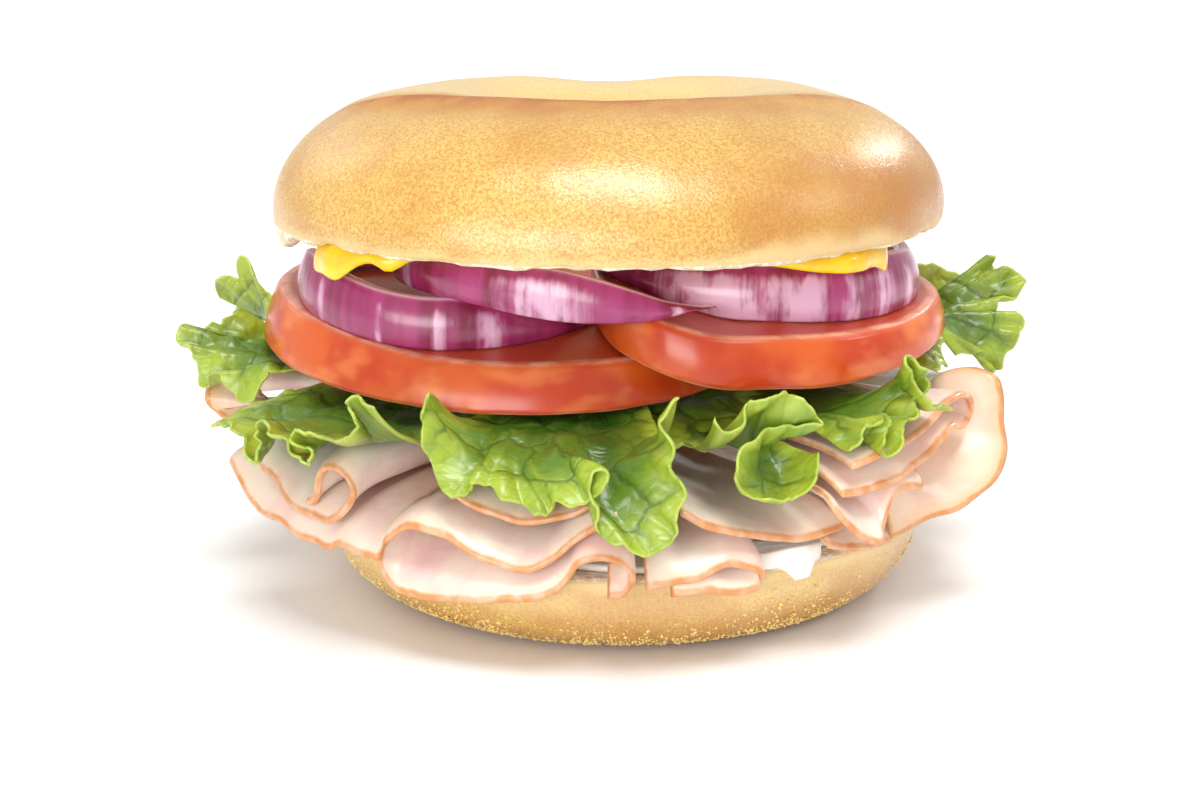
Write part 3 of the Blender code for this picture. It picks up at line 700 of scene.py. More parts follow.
def tomato_material(settings, name, centre):
    """Tight shiny skin round the side, juicy flesh with walls and seeds on the cut faces, and a pale line
    along the edges: painted highlight on the top edge, a pale line on the bottom edge.
    """
    r = Recipe(name, settings)
    skin, line = r.mark("skin"), r.mark("edge_line_and_highlight")
    x, y = r.x - centre[0], r.y - centre[1]
    radius = (x * x + y * y) ** 0.5
    patch = r.noise(11)
    peel = r.coats("tomato_skin", (patch, 0.38, 0.66, 1, "tomato_skin_deep"),
                   (r.noise(9, 2.0, (1, 1, 0.5)), 0.5, 0.75, 0.5, "tomato_orange"))
    fibre = r.noise(1.6, 4.0)
    flesh = r.coats("tomato_flesh", (fibre, 0.35, 0.7, 1, "tomato_skin_deep"),
                    (r.noise(9, 2.0) + 0.012 * radius, 0.62, 0.7, 0.4, "tomato_skin"))
    # Pale line along both edges: painted highlight on the top edge, a pale line on the bottom edge
    edge = line * (0.25 + 0.4 * r.between(r.noise(4), 0.35, 0.6))
    height = r.noise(0.5, 2.0) * (1 - skin) + 0.25 * patch + line * 0.3
    rough = 0.32 - 0.08 * skin + 0.12 * r.between(fibre, 0.4, 0.8) * (1 - skin)
    return r.finish(r.coats(flesh, (skin, peel), (edge, "tomato_edge_and_highlight")), rough, (height, 0.12),
                    scatter=(0.15, 4), coat=(0.25, 0.2), specular=0.4)


def onion_material(settings):
    """Purple skin side with pale upright streaks and painted sheen, white flesh inside and a thin pale rim.
    """
    r = Recipe("red_onion_fine", settings, mapped=True)
    fine = r.noise(0.8, 3.0, (1, 18, 1))
    broad = r.noise(4.5, 2.0, (1, 9, 1))
    sheen = r.between(r.noise(3.5, 3.0, (1, 1.6, 1)), 0.35, 0.6)
    # The pale mark lays on pale streak groups and painted highlights, broken up by the sheen noise
    pale = r.mark("pale") * (0.55 + 0.6 * sheen) + 0.9 * fine + 0.4 * broad - 0.72
    purple = r.coats("onion_skin", (broad, 0.35, 0.7, 1, "onion_deep"),
                     (pale, 0.2, 1.1, 0.9, "onion_streak_and_sheen"))
    colour = r.coats("onion_flesh", (fine, 0.45, 0.7, 1, "onion_streak_and_sheen"), (r.mark("skin"), purple))
    return r.finish(colour, 0.17 + 0.15 * fine, (fine * 0.7 + broad * 0.3, 0.1),
                    scatter=(0.12, 2), coat=(0.4, 0.18))


def ham_material(settings):
    """Moist pale meat with faint grain, pinker in patches, darker and pinker with painted shade further in
    from the rim, and a thin browned rim.
    """
    r = Recipe("ham_fine", settings, mapped=True)
    edge = r.mark("rim")
    grain = r.noise(1.3, 4.0, (2.5, 1, 1), 0.6)
    wobble = r.noise(2.2)
    warm = r.between(edge + 2.5 * wobble, 5.0, 1.2) * 0.5 + r.mark("tan") * 0.45
    brown = r.between(edge + 0.7 * wobble, 1.6, 1.0) * (0.6 + 0.4 * r.between(r.noise(3), 0.35, 0.62))
    # ham_painted_shade is painted shade: the meat darkens from 9 to 26 mm in from the rim, where it lies
    # inside the sandwich
    colour = r.coats("ham", (r.noise(10), 0.4, 0.68, 1, "ham_pink"), (grain, 0.55, 0.8, 0.45, "ham_pale"),
                     (r.y, 9, 26, 0.4, "ham_painted_shade"), (warm, "ham_warm"), (brown * 0.95, "ham_rim"))
    return r.finish(colour, 0.3 + 0.18 * grain, (grain * 0.6 + wobble * 0.4, 0.1),
                    scatter=(0.25, 3), coat=(0.45, 0.14))


def lettuce_material(settings):
    """Blistered leaf: yellow-green rim brightened with painted glow, darker inside with painted shade deep
    in the sandwich, a net of fine dark veins, a pale edge.
    """
    r = Recipe("lettuce_fine", settings, mapped=True)
    edge = r.mark("rim")
    patch = r.noise(7)
    cell = r.noise(1.1)
    bent = r.output("ShaderNodeCombineXYZ", "Vector", {},
                    {0: r.x + 4 * r.noise(5, 2.0), 1: r.y + 4 * patch, 2: 0.0})
    main, small = r.cells(bent, 8.5), r.cells(bent, 2.6)
    vein = r.between(main, 0.05, 0.012) * r.between(edge, 1.5, 4)
    rim = r.between(edge, 0.5, 0.1) * (0.1 + 0.3 * r.between(patch, 0.4, 0.6))
    # leaf_rim_and_glow is the rim's yellow-green, made brighter as painted glow of light through the leaf;
    # leaf_dark_and_shade from 13 to 24 mm in from the rim is painted shade, and in cells and veins it is
    # the leaf's own dark green
    colour = r.coats("leaf_rim_and_glow", (edge + 7 * patch, 4.5, 13, 1, "leaf_green"),
                     (patch, 0.5, 0.72, 0.45, "leaf_green"), (edge + 6 * patch, 13, 24, 1, "leaf_dark_and_shade"),
                     (cell, 0.5, 0.75, 0.14, "leaf_dark_and_shade"), (main, 0.25, 0, 0.25, "leaf_green"),
                     (small, 0.09, 0.02, 0.16, "leaf_dark_and_shade"), (vein * 0.6, "leaf_dark_and_shade"), (rim, "leaf_edge"))
    height = cell * 0.25 + r.between(main, 0, 0.12) * 0.7 + r.between(small, 0, 0.25) * 0.2
    return r.finish(colour, 0.24 + 0.16 * cell, (height, 0.2), scatter=(0.25, 2), coat=(0.25, 0.25))


def colour(name, description, *channels):
    """A colour setting, given as a picture colour of 0-255."""
    return bpy.props.FloatVectorProperty(name=name, description=description, subtype="COLOR", size=3,
                                         min=0, max=1, default=tone(*channels))


def size(name, description, default):
    """A length setting, given in mm."""
    return bpy.props.FloatProperty(name=name, description=description, default=default * MM,
                                   min=0, unit="LENGTH", subtype="DISTANCE")


class BreadSettings(bpy.types.PropertyGroup):
    """Colours of the bagel and of the grains it was baked on."""

    crust: colour("Crust", "Golden crust", 216, 178, 92)
    crust_dark: colour("Dark crust", "Darker specks and clouds of the crust", 186, 126, 42)
    crust_pale: colour("Pale crust", "Crust near the cut and behind the crest", 236, 208, 146)
    crust_toasted: colour("Toasted crust", "Most browned places", 166, 88, 20)
    crumb: colour("Crumb", "Bread inside the crust", 248, 236, 214)
    crumb_shadow: colour("Crumb pores", "Pores of the bread", 226, 204, 170)
    cornmeal: colour("Cornmeal", "Grains under the heel", 240, 210, 128)
    unevenness: size("Unevenness", "How far the crust wanders from an even ring", 0.35)


class SpreadSettings(bpy.types.PropertyGroup):
    """Colours of the two spreads."""

    mayonnaise: colour("Mayonnaise", "Mayonnaise", 250, 247, 240)
    mayonnaise_deep: colour("Deep mayonnaise", "Patches of the mayonnaise", 240, 233, 218)
    mustard: colour("Mustard", "Mustard", 252, 208, 18)
    mustard_deep: colour("Deep mustard", "Patches of the mustard", 246, 190, 6)


class SaladSettings(bpy.types.PropertyGroup):
    """Colours and sizes of tomato, onion and lettuce."""

    tomato_skin: colour("Tomato skin", "Tomato skin", 207, 90, 30)
    tomato_skin_deep: colour("Deep tomato skin", "Deeper patches of the skin", 190, 60, 20)
    tomato_flesh: colour("Tomato flesh", "Cut face", 176, 40, 22)
    # Painted highlight along the top edge of a slice, and a pale line along the bottom edge
    tomato_edge_and_highlight: colour("Tomato edge", "Pale line along the cut edges", 250, 190, 158)
    tomato_orange: colour("Orange tomato skin", "Lighter patches of the skin", 234, 138, 74)
    onion_skin: colour("Onion skin", "Outer side of the rings", 170, 56, 116)
    onion_deep: colour("Deep onion skin", "Deeper streaks of the rings", 128, 30, 66)
    # Pale upright streaks, also used for painted sheen on the skin
    onion_streak_and_sheen: colour("Onion streaks", "Pale upright streaks", 226, 180, 208)
    onion_flesh: colour("Onion flesh", "Inner side and cut rim", 226, 178, 200)
    # Yellow-green of the rim, brightened as painted glow of light through the leaf
    leaf_rim_and_glow: colour("Bright leaf", "Ruffled rim", 158, 180, 54)
    leaf_green: colour("Green leaf", "Middle of the leaf", 90, 124, 32)
    # Dark green of veins and cells, also used as painted shade deep inside the sandwich
    leaf_dark_and_shade: colour("Deep leaf", "Inside the sandwich and along the veins", 48, 84, 18)
    leaf_edge: colour("Leaf edge", "Thin pale line at the rim", 200, 220, 104)
    leaf_thick: size("Leaf thickness", "Thickness of a leaf", 0.5)
    ruffle: size("Ruffle height", "Height of the small ruffles at the rim", 0.9)
    blister: size("Blister height", "Height of the puffed cells", 0.55)


class HamSettings(bpy.types.PropertyGroup):
    """Colours and sizes of the ham."""

    ham: colour("Ham", "Meat", 250, 232, 219)
    ham_pink: colour("Pink ham", "Pinker patches", 240, 204, 200)
    ham_pale: colour("Pale ham", "Grain", 250, 238, 226)
    # Painted shade for the meat further in from the rim, inside the sandwich
    ham_painted_shade: colour("Deep ham", "Meat inside the folds", 208, 138, 104)
    ham_warm: colour("Warm ham", "Meat near the rim", 228, 184, 134)
    ham_rim: colour("Ham rim", "Browned rim", 204, 134, 66)
    ham_thick: size("Ham thickness", "Thickness of a slice", 1.1)


class StudioSettings(bpy.types.PropertyGroup):
    """Floor, light and lens."""

    floor: colour("Floor", "Pale floor", 246, 246, 246)
    light: bpy.props.FloatProperty(name="Light", description="Strength of all lamps together",
                                   default=1.0, min=0)
    focal: bpy.props.FloatProperty(name="Focal length", description="In pixels of the picture's width",
                                   default=1980, min=100)


def add_crown(settings, uneven):
    """A quarter ellipse outside and a quarter circle inside the crest, over a flat cut.

    A low ridge follows the crest line, the back dips by a bell, the crust wanders in and out,
    and the lip round the cut hangs unevenly, most of all where it is torn.
    """
    crest, cut, top = CROWN_CREST_RADIUS, CROWN_CUT_HEIGHT, CROWN_TOP_HEIGHT
    side, inner = CROWN_RADIUS - CUT_EDGE, crest - HOLE_RADIUS
    size = (CROWN_RADIUS - crest, top - CROWN_WIDEST_HEIGHT)
    profile = section((np.linspace(HOLE_RADIUS + 0.6, side, 50), cut),
                      ellipse((side, cut + CUT_EDGE), [CUT_EDGE] * 2, np.linspace(-90, 0, 8)[:-1]),
                      ellipse((crest, CROWN_WIDEST_HEIGHT), size, np.linspace(0, 90, 60)),
                      ellipse((crest, top - inner), (inner, inner), np.linspace(90, 180, 30)[1:]),
                      (HOLE_RADIUS, np.linspace(top - inner, cut + 0.7, 6)[1:-1]))

    def rule(x, y, z, azimuth, out):
        above = np.clip((z - cut) / (top - cut), 0, 1)
        dip = CROWN_BACK_DIP * bump(azimuth, 180, 20)
        spread = 1 + 0.006 * np.cos(np.radians(2 * azimuth + 20))
        lump = uneven * (wander(x / 14, (y + z) / 14, 3) + 0.25 * wander(x / 4, (y - z) / 4, 4))
        low = 1 - smooth((z - cut - 0.2) / 2.0)
        rim = smooth((out - CROWN_RADIUS + 4.4) / 2.4)
        torn = 0.25 * wander(azimuth / 2.2, 0, 5) + 0.35 * wander(azimuth / 7, 0, 6)
        flap = bump(azimuth, TORN_AZIMUTH, 9) * (TORN_DEPTH + 0.6 * wander(azimuth / 1.6, 0, 7))
        lower = low * rim * (flap + 0.25 + torn)
        grow = spread * (1 + lump / np.maximum(out, 1) * smooth((out - 14) / 6))
        behind = behind_crest(x, y)
        ridge = smooth((behind + 7) / 6.5) * smooth((4.0 - behind) / 4.2) * smooth(above * 3 - 2)
        rise = CREST_RIDGE * ridge - dip * above**2 + lump * 0.6 * smooth(above * 3) - lower
        return x * grow * CROWN_STRETCH - CROWN_SHIFT, y * grow, z + rise

    material = crust_material(settings, "crown_crust", own_place(), True)
    turned_piece("bagel_crown", profile, rule, material)


def add_heel(settings, uneven):
    """A flat cut on top, an elliptic outer side and a flat to rest on, round a hole."""
    edge = (HEEL_RADIUS - 1, HEEL_HEIGHT - 1)
    profile = section((np.linspace(HOLE_RADIUS + 3, HEEL_FLAT_RADIUS, 30), 0.0),
                      ellipse(*HEEL_SIDE, np.linspace(HEEL_LOWEST_TURN, 0, 40)),
                      ellipse(edge, (1, 1), np.linspace(0, 90, 7)[1:]),
                      (np.linspace(edge[0], HOLE_RADIUS, 40)[1:], HEEL_HEIGHT),
                      ([HOLE_RADIUS, HOLE_RADIUS + 0.8], [6.0, 2.5]))

    def rule(x, y, z, azimuth, out):
        lump = uneven * (wander(x / 13, y / 13, 8) + 0.3 * wander(x / 3.5, (y - z) / 3.5, 9))
        grow = 1 + lump * smooth(z / 3) * smooth((HEEL_HEIGHT - z) / 2) / np.maximum(out, 1)
        return x * grow + HEEL_CENTRE[0], y * grow + HEEL_CENTRE[1], z

    material = crust_material(settings, "heel_crust", own_place() + [*HEEL_CENTRE, 0], False)
    turned_piece("bagel_heel", profile, rule, material)


class AddBagel(bpy.types.Operator):
    """Add the bagel's crown and heel"""

    bl_idname = "sandwich.add_bagel"
    bl_label = "Bagel"

    def execute(self, context):
        settings = context.scene.sandwich_bread
        add_crown(settings, settings.unevenness / MM)
        add_heel(settings, settings.unevenness / MM)
        return {"FINISHED"}


class AddCornmeal(bpy.types.Operator):
    """Add the grains stuck round the heel's lower edge"""

    bl_idname = "sandwich.add_cornmeal"
    bl_label = "Cornmeal"

    def execute(self, context):
        # Small stretched balls at even random turns. A beta draw sets how far up the heel's
        # elliptic side each one sticks, so that they thin out upwards.
        rng = np.random.default_rng(21)
        turn = rng.uniform(0, math.tau, GRAIN_COUNT)
        degrees = HEEL_LOWEST_TURN + GRAIN_TURN_SPAN * rng.beta(0.9, 2.6, GRAIN_COUNT)
        radius, height = ellipse(*HEEL_SIDE, degrees)
        size = rng.uniform(*GRAIN_RADII, GRAIN_COUNT) * (0.7 + 0.6 * rng.uniform(0, 1, GRAIN_COUNT) ** 3)
        middle = np.stack([HEEL_CENTRE[0] + radius * np.sin(turn), HEEL_CENTRE[1] - radius * np.cos(turn),
                           np.maximum(height, GRAIN_LOWEST)], axis=1)
        ball = bmesh.new()
        bmesh.ops.create_icosphere(ball, subdivisions=1, radius=1.0)
        corners = np.array([v.co for v in ball.verts])
        faces = np.array([[v.index for v in f.verts] for f in ball.faces])
        ball.free()
        stretch = rng.uniform(0.7, 1.3, (GRAIN_COUNT, 1, 3))
        points = middle[:, None, :] + corners[None] * stretch * size[:, None, None]
        points[..., 2] = np.maximum(points[..., 2], FLOOR_GAP)
        places = (points.reshape(-1, 3) + own_place()) * MM
        triangles = (faces[None] + (np.arange(GRAIN_COUNT) * len(corners))[:, None, None]).reshape(-1, 3)
        mesh = bpy.data.meshes.new("cornmeal")
        mesh.from_pydata(places.tolist(), [], triangles.tolist())
        add_piece("cornmeal_grains", mesh, cornmeal_material(context.scene.sandwich_bread))
        return {"FINISHED"}


def spread_ring(radius, low, high, lip, gap, count):
    """A flat ring round the hole whose lip is half an ellipse."""
    half = (high - low) / 2
    flat = np.linspace(HOLE_RADIUS + 3, radius - gap, 40)
    return section((flat, low), ellipse((radius, low + half), (lip, half), np.linspace(-90, 90, count)),
                   (flat[::-1], high))


def add_mayonnaise(settings):
    """The ring's lip is ragged, and at one azimuth it is pushed out, up and down over the heel."""
    low = HEEL_HEIGHT + SPREAD_GAP * 0.5
    high = HEEL_HEIGHT + SPREAD_GAP + 0.9

    def rule(x, y, z, azimuth, out):
        edge = smooth((out - MAYO_RADIUS + 6) / 6)
        well = smooth((9.8 - np.abs(azimuth - WELL_AZIMUTH)) / 4)
        well = well * (0.9 + 0.3 * wander(azimuth / 2.4, 0, 12))
        rise = (z - low) / (high - low)
        ragged = 0.7 * np.sin(np.radians(azimuth) * 7 + 0.5) + 0.4 * wander(azimuth / 4, 0, 13)
        grow = out + edge * (ragged * (1 - np.clip(well, 0, 1)) + well * WELL_REACH)
        deep = 1.6 + 1.3 * smooth((31 - azimuth) / 7)
        hang = deep * smooth((grow - HEEL_RADIUS - 0.7) / 1.4) * (1 - rise)
        swell = well * edge * 2.2 * rise
        return (x * grow / out + HEEL_CENTRE[0], y * grow / out + HEEL_CENTRE[1],
                z + swell - hang + 0.15 * rise * wander(x / 4, y / 4, 14))

    profile = spread_ring(MAYO_RADIUS, low, high, (high - low) / 2, 0.4, 22)
    turned_piece("mayonnaise", profile, rule, spread_material(settings, "mayonnaise"))


def add_mustard(settings):
    """The ring's lip swells out and hangs down at two azimuths, with drips."""
    low = CROWN_CUT_HEIGHT - SPREAD_GAP - 1.1
    high = CROWN_CUT_HEIGHT - SPREAD_GAP * 0.3

    def rule(x, y, z, azimuth, out):
        edge = smooth((out - MUSTARD_RADIUS + 2) / 2)
        push = MUSTARD_SWELL * (bump(azimuth, -52, 15) + bump(azimuth, 45, 15))
        drip = 2.2 * smooth((azimuth - 24) / 18) * smooth((60 - azimuth) / 5)
        for depth, centre, width in MUSTARD_DRIPS:
            drip = drip + depth * bump(azimuth, centre, width)
        hanging = drip * smooth((out - MUSTARD_RADIUS) / 0.9) * (high - z) / (high - low)
        grow = out + edge * (push + 0.4 * wander(azimuth / 3, 0, 15)) + 0.35 * hanging
        return x * grow / out, y * grow / out, z - hanging

    profile = spread_ring(MUSTARD_RADIUS, low, high, 1.5, 0.3, 26)
    turned_piece("mustard", profile, rule, spread_material(settings, "mustard"))


class AddSpreads(bpy.types.Operator):
    """Add the mayonnaise on the heel and the mustard under the crown"""

    bl_idname = "sandwich.add_spreads"
    bl_label = "Spreads"

    def execute(self, context):
        add_mayonnaise(context.scene.sandwich_spreads)
        add_mustard(context.scene.sandwich_spreads)
        return {"FINISHED"}


def add_tomato(name, radius, thick, lean, rule, material):
    """Two flat faces and a side that bulges by a half sine and leans in, with eased edges."""
    up = np.linspace(0, 1, 40)
    gap = np.minimum(up, 1 - up)
    side = radius - lean * up - 0.45 * np.maximum(1 - gap / 0.12, 0) ** 2 + 0.35 * np.sin(math.pi * up)
    face = np.linspace(0, 1, 44)[:-1] ** 0.8
    profile = section((face * (radius - 0.6), 0), (side, thick * up),
                      ((radius - lean - 0.6) * face[::-1], thick))
    flat = np.zeros(len(face))
    rim = np.append(flat[1:], 1)
    # The edge mark is painted highlight along the top edge and a pale line along the bottom edge
    marks = {"skin": np.concatenate([flat, smooth(gap / 0.06), flat]),
             "edge_line_and_highlight": np.concatenate([rim, np.exp(-gap / 0.022), rim[::-1]])}

    def uneven(*place):
        x, y, z = rule(*place)
        return x, y, z + 0.12 * wander(x / 5, y / 5, 17)

    turned_piece(name, profile, uneven, material, marks)


class AddTomatoes(bpy.types.Operator):
    """Add the two tomato slices"""

    bl_idname = "sandwich.add_tomatoes"
    bl_label = "Tomato slices"

    def execute(self, context):
        settings = context.scene.sandwich_salad

        def left_rule(x, y, z, azimuth, out):
            uneven = 1 - 0.15 * bump(azimuth, 75, 45) + 0.07 * bump(azimuth, -85, 50)
            x, y = x * uneven + TOMATO_LEFT_CENTRE[0], y * uneven + TOMATO_LEFT_CENTRE[1]
            low = TOMATO_BASE_HEIGHT + slope_rise(y)
            return x, y, low + (left_slice_top(x, y) - low) * z / TOMATO_LEFT_THICK

        def right_rule(x, y, z, azimuth, out):
            """The left half is a rounded box: the same power of its two shares sums to 1."""
            around = np.radians(azimuth)
            left = (np.abs(np.sin(around)) / TOMATO_RIGHT_LEFT_REACH) ** TOMATO_BOX_POWER
            left = left + (np.abs(np.cos(around)) / TOMATO_RIGHT_RADIUS) ** TOMATO_BOX_POWER
            left = left ** (-1 / TOMATO_BOX_POWER)
            shrink = np.where(x < 0, left / TOMATO_RIGHT_RADIUS, 1)
            x, y = x * shrink + TOMATO_RIGHT_CENTRE[0], y * shrink + TOMATO_RIGHT_CENTRE[1]
            low = right_slice_base(x, y)
            return x, y, low + (right_slice_top(x, y) - low) * z / TOMATO_RIGHT_THICK

        for name, radius, thick, lean, centre, rule in (
                ("tomato_left", TOMATO_LEFT_RADIUS, TOMATO_LEFT_THICK, 2.6, TOMATO_LEFT_CENTRE, left_rule),
                ("tomato_right", TOMATO_RIGHT_RADIUS, TOMATO_RIGHT_THICK, 1.4, TOMATO_RIGHT_CENTRE,
                 right_rule)):
            material = tomato_material(settings, name + "_flesh", own_place() + [*centre, 0])
            add_tomato(name, radius, thick, lean, rule, material)
        return {"FINISHED"}


def add_onion(name, centre, radius, span, lean, heights, pale, material):
    """A section carried round an arc, its underside and top given by heights.

    The section's outer side leans in as a square, with a half sine for a bulge, its top is
    a thin lip, and both ends close by shrinking the section with the root of the distance
    to the end.
    """
    first, last = span
    degree = radius * math.tau / 360
    count = round((last - first) * degree / ONION_STEP)
    azimuth = np.linspace(first, last, count)[:, None]
    up = np.linspace(0, 1, 26)
    down = np.linspace(1, 0, 22)
    lip = np.linspace(0, 1, 8)[1:-1]
    outer = -lean * up**2 - 0.35 * (1 - up) ** 4 + 0.3 * np.sin(math.pi * up)
    inner = -ONION_WALL - (lean - 0.9) * down - 0.4 * np.sin(math.pi * down)
    top, floor = outer[-1] + (inner[0] - outer[-1]) * lip, inner[-1] + (outer[0] - inner[-1]) * lip
    across, rise = section((outer, up), (top, 1 + 0.02 * np.sin(math.pi * lip)),
                           (inner, down), (floor, 0))
    skin = np.zeros(len(rise))
    skin[:len(up)] = smooth((1 - up) / 0.05)
    end = np.minimum(azimuth - first, last - azimuth) * degree
    shrink = np.sqrt(1 - (1 - np.clip(end / 1.2, 0, 1)) ** 2)
    across = -ONION_WALL / 2 + (across + ONION_WALL / 2) * shrink
    out = radius * (1 + 0.02 * np.cos(np.radians(2 * azimuth + 40))) + across
    x = centre[0] + out * np.sin(np.radians(azimuth))
    y = centre[1] - out * np.cos(np.radians(azimuth))
    low, high = heights(x, y, azimuth + 0 * x)
    z = low + (0.5 + (rise - 0.5) * shrink) * (high - low)
    z = z + 0.12 * wander(x / 4, y / 4, 18) * rise
    length = travelled(np.hypot(np.diff(across[count // 2]), 6 * np.diff(rise)))
    # Pale streak groups and painted highlights at listed azimuths, fading towards the top
    streaks_and_sheen = sum(bump(azimuth, *place) for place in pale) * smooth((0.95 - rise) / 0.3)
    spots = ((azimuth - first) * degree, np.append(length, 20)[None, :])
    marks = {"skin": skin, "pale": streaks_and_sheen}
    add_surface(name, np.stack([x, y, z], axis=2), spots, marks, material)


class AddOnions(bpy.types.Operator):
    """Add the three red onion rings"""

    bl_idname = "sandwich.add_onions"
    bl_label = "Red onion rings"

    def execute(self, context):
        material = onion_material(context.scene.sandwich_salad)

        def on_left(x, y, azimuth):
            """The top rises to the left, falls to the right and falls behind, by S curves."""
            high = 51.6 + 4.6 * smooth((-azimuth - 5) / 70) - 6.3 * smooth(azimuth / 75)
            high = high - 6.0 * smooth((-azimuth - 68) / 45)
            return left_slice_top(np.minimum(x, 0), y) + ONION_RISE, high

        def bridging(x, y, azimuth):
            """The underside sinks and rises again, and the top sinks, to the right."""
            low = 52.2 - 2.0 * smooth((azimuth + 45) / 42) + 1.6 * smooth((azimuth - 4) / 22)
            return low, 57.9 - 6.1 * smooth((azimuth + 18) / 45)

        def on_right(x, y, azimuth):
            """The top falls a little to the right."""
            return right_slice_top(x, y) + ONION_RISE, 57.0 - 1.4 * smooth((azimuth - 45) / 40)

        # Azimuth and width of each pale streak group and painted highlight on each ring
        streaks_and_sheen_left = ((-50, 2), (-24, 1.8), (-3, 2.4), (14, 6), (-120, 6), (-160, 9))
        streaks_and_sheen_middle = ((-17, 13), (-60, 3), (-85, 5), (16, 2))
        streaks_and_sheen_right = ((-24, 13), (-6, 16), (14, 9), (30, 4), (44, 8), (62, 4), (80, 6), (98, 4))
        for name, centre, radius, span, lean, heights, pale in (
                ("onion_left", (-24.0, -8.8), 26.0, (-178, 62), 1.5, on_left, streaks_and_sheen_left),
                ("onion_middle", (0.0, -9.5), 35.3, (-112, 27), 1.1, bridging, streaks_and_sheen_middle),
                ("onion_right", (23.0, -9.0), 27.0, (-75, 110), 1.9, on_right, streaks_and_sheen_right)):
            add_onion(name, centre, radius, span, lean, heights, pale, material)
        return {"FINISHED"}


def back_ham():
    """Two rows of loosely folded slices round the back: arcs that bend one way and back."""
    slices = []
    for row, (rim, height, inner) in enumerate([(60.0, 18.8, 20.2), (61.5, 28.4, 29.6)]):
        for k in range(3):
            rng = np.random.default_rng(12 + k)
            arcs = [(12.5 * rng.uniform(0.85, 1.15), 50 * (-1) ** n) for n in range(5)]
            arcs += [(5.2, 150), (9, -5)]
            slices.append(Sheet(f"ham_back_{3 * row + k + 1}", 77 + 64 * k + 2 * row, height, -25,
                                arcs, rim, inner, 0.45, 34))
    return slices


class AddHam(bpy.types.Operator):
    """Add the folded slices of ham"""

    bl_idname = "sandwich.add_ham"
    bl_label = "Ham"

    def execute(self, context):
        settings = context.scene.sandwich_ham
        material = ham_material(settings)
        rows = np.linspace(0, 1, 44) ** 1.25
        # Low waves run all over a slice, and its rim is ragged, which fades as e^(-d / 2.5)
        for piece, middle, along, seed in thin_food(
                HAM_SLICES + back_ham(), SIDE_HAM, rows, HAM_SPACING, HAM_SETTLE, False):
            inward = travelled(step_lengths(middle, 1))
            wave = 0.22 * wander(along / 6 + seed * 7, inward / 7, 31)
            ragged = 0.35 * wander(along / 4 + seed * 3, 0, 32) * np.exp(-inward / 2.5)
            middle = pushed(middle, wave, ragged, 3)
            add_thin(piece.name, middle, along, None, settings.ham_thick, HAM_EDGE, 0.6,
                     {"tan": float(isinstance(piece, Fan))}, material)
        return {"FINISHED"}


def back_leaves():
    """Ruffled leaves round the back, in turns one step and two steps below the tomato."""
    leaves = []
    for k in range(4):
        rng = np.random.default_rng(30 + k)
        arcs = [(10.2 * rng.uniform(0.85, 1.15), -100 * (-1) ** n) for n in range(5)]
        level = 1 - k % 2
        leaves.append(Sheet(f"leaf_back_{k + 1}", 107 + 37 * k, 37.5 - level, 50,
                            arcs, 65.0, level, 0.04, 24))
    return leaves


def ruffled(middle, flat, along, seed, settings):
    """The middle surface plus ruffles, blisters and fine wrinkles along its normal.

    Ruffles are sines of the way along the rim that fade inwards as e^(-(d / depth)^2).
    Blisters are puffs over the cells of a jittered lattice laid on the flat map, higher in
    some places than in others. The rim is notched by two sizes of random steps.
    """
    inward = travelled(step_lengths(middle, 1))
    side = np.minimum(along, along[-1] - along)
    way = along + seed * 31.0
    phase = way / RUFFLE_LENGTH + 0.55 * wander(way / 9, 0, 51)
    strength = (0.6 + 0.5 * wander(way / 11, 0, 52)) * smooth(side / 5)
    ruffle = settings.ruffle / MM * strength * np.sin(math.tau * phase)
    ruffle = ruffle * np.exp(-((inward / RUFFLE_DEPTH) ** 2))
    across, down = flat
    column = across / BLISTER_WIDTH + 0.3 * wander(down / 6, across / 6, 53) + seed * 3.0
    inside = blisters(column, down / BLISTER_LENGTH + 9.0, 54)
    fade = smooth((inward - 1.0) / 4)
    high = 0.45 + 0.75 * smooth(0.5 + 1.2 * wander(across / 9, down / 9, 59))
    blister = settings.blister / MM * high * (smooth(inside / 0.75) - 0.5) * fade
    wrinkle = 0.04 * wander(across / 1.5, down / 1.5, 55) + 0.14 * wander(across / 4, down / 4, 56)
    notch = 0.6 * wander(way / 2.4, 0, 57) + 0.35 * wander(way, 0, 58)
    notch = notch * smooth(side / 2) * np.exp(-inward / 1.8)
    return pushed(middle, ruffle + blister + wrinkle * fade, notch, 4)


class AddLettuce(bpy.types.Operator):
    """Add the ruffled lettuce leaves"""

    bl_idname = "sandwich.add_lettuce"
    bl_label = "Lettuce"

    def execute(self, context):
        settings = context.scene.sandwich_salad
        material = lettuce_material(settings)
        rows = np.linspace(0, 1, 64) ** 1.35
        for piece, middle, along, seed in thin_food(
                LEAVES + back_leaves(), SIDE_LEAVES, rows, LEAF_SPACING, LEAF_SETTLE, True):
            x, y, z = np.moveaxis(middle, 2, 0)
            if isinstance(piece, Fan):
                flat = (piece.side * x, z + 0.35 * y)
            else:
                flat = (np.unwrap(np.arctan2(x, -y), axis=0) * piece.rim, z + piece.rim - np.hypot(x, y))
            middle = ruffled(middle, flat, along, seed, settings)
            add_thin(piece.name, middle, along, flat, settings.leaf_thick, LEAF_EDGE, 0,
                     {}, material)
        return {"FINISHED"}


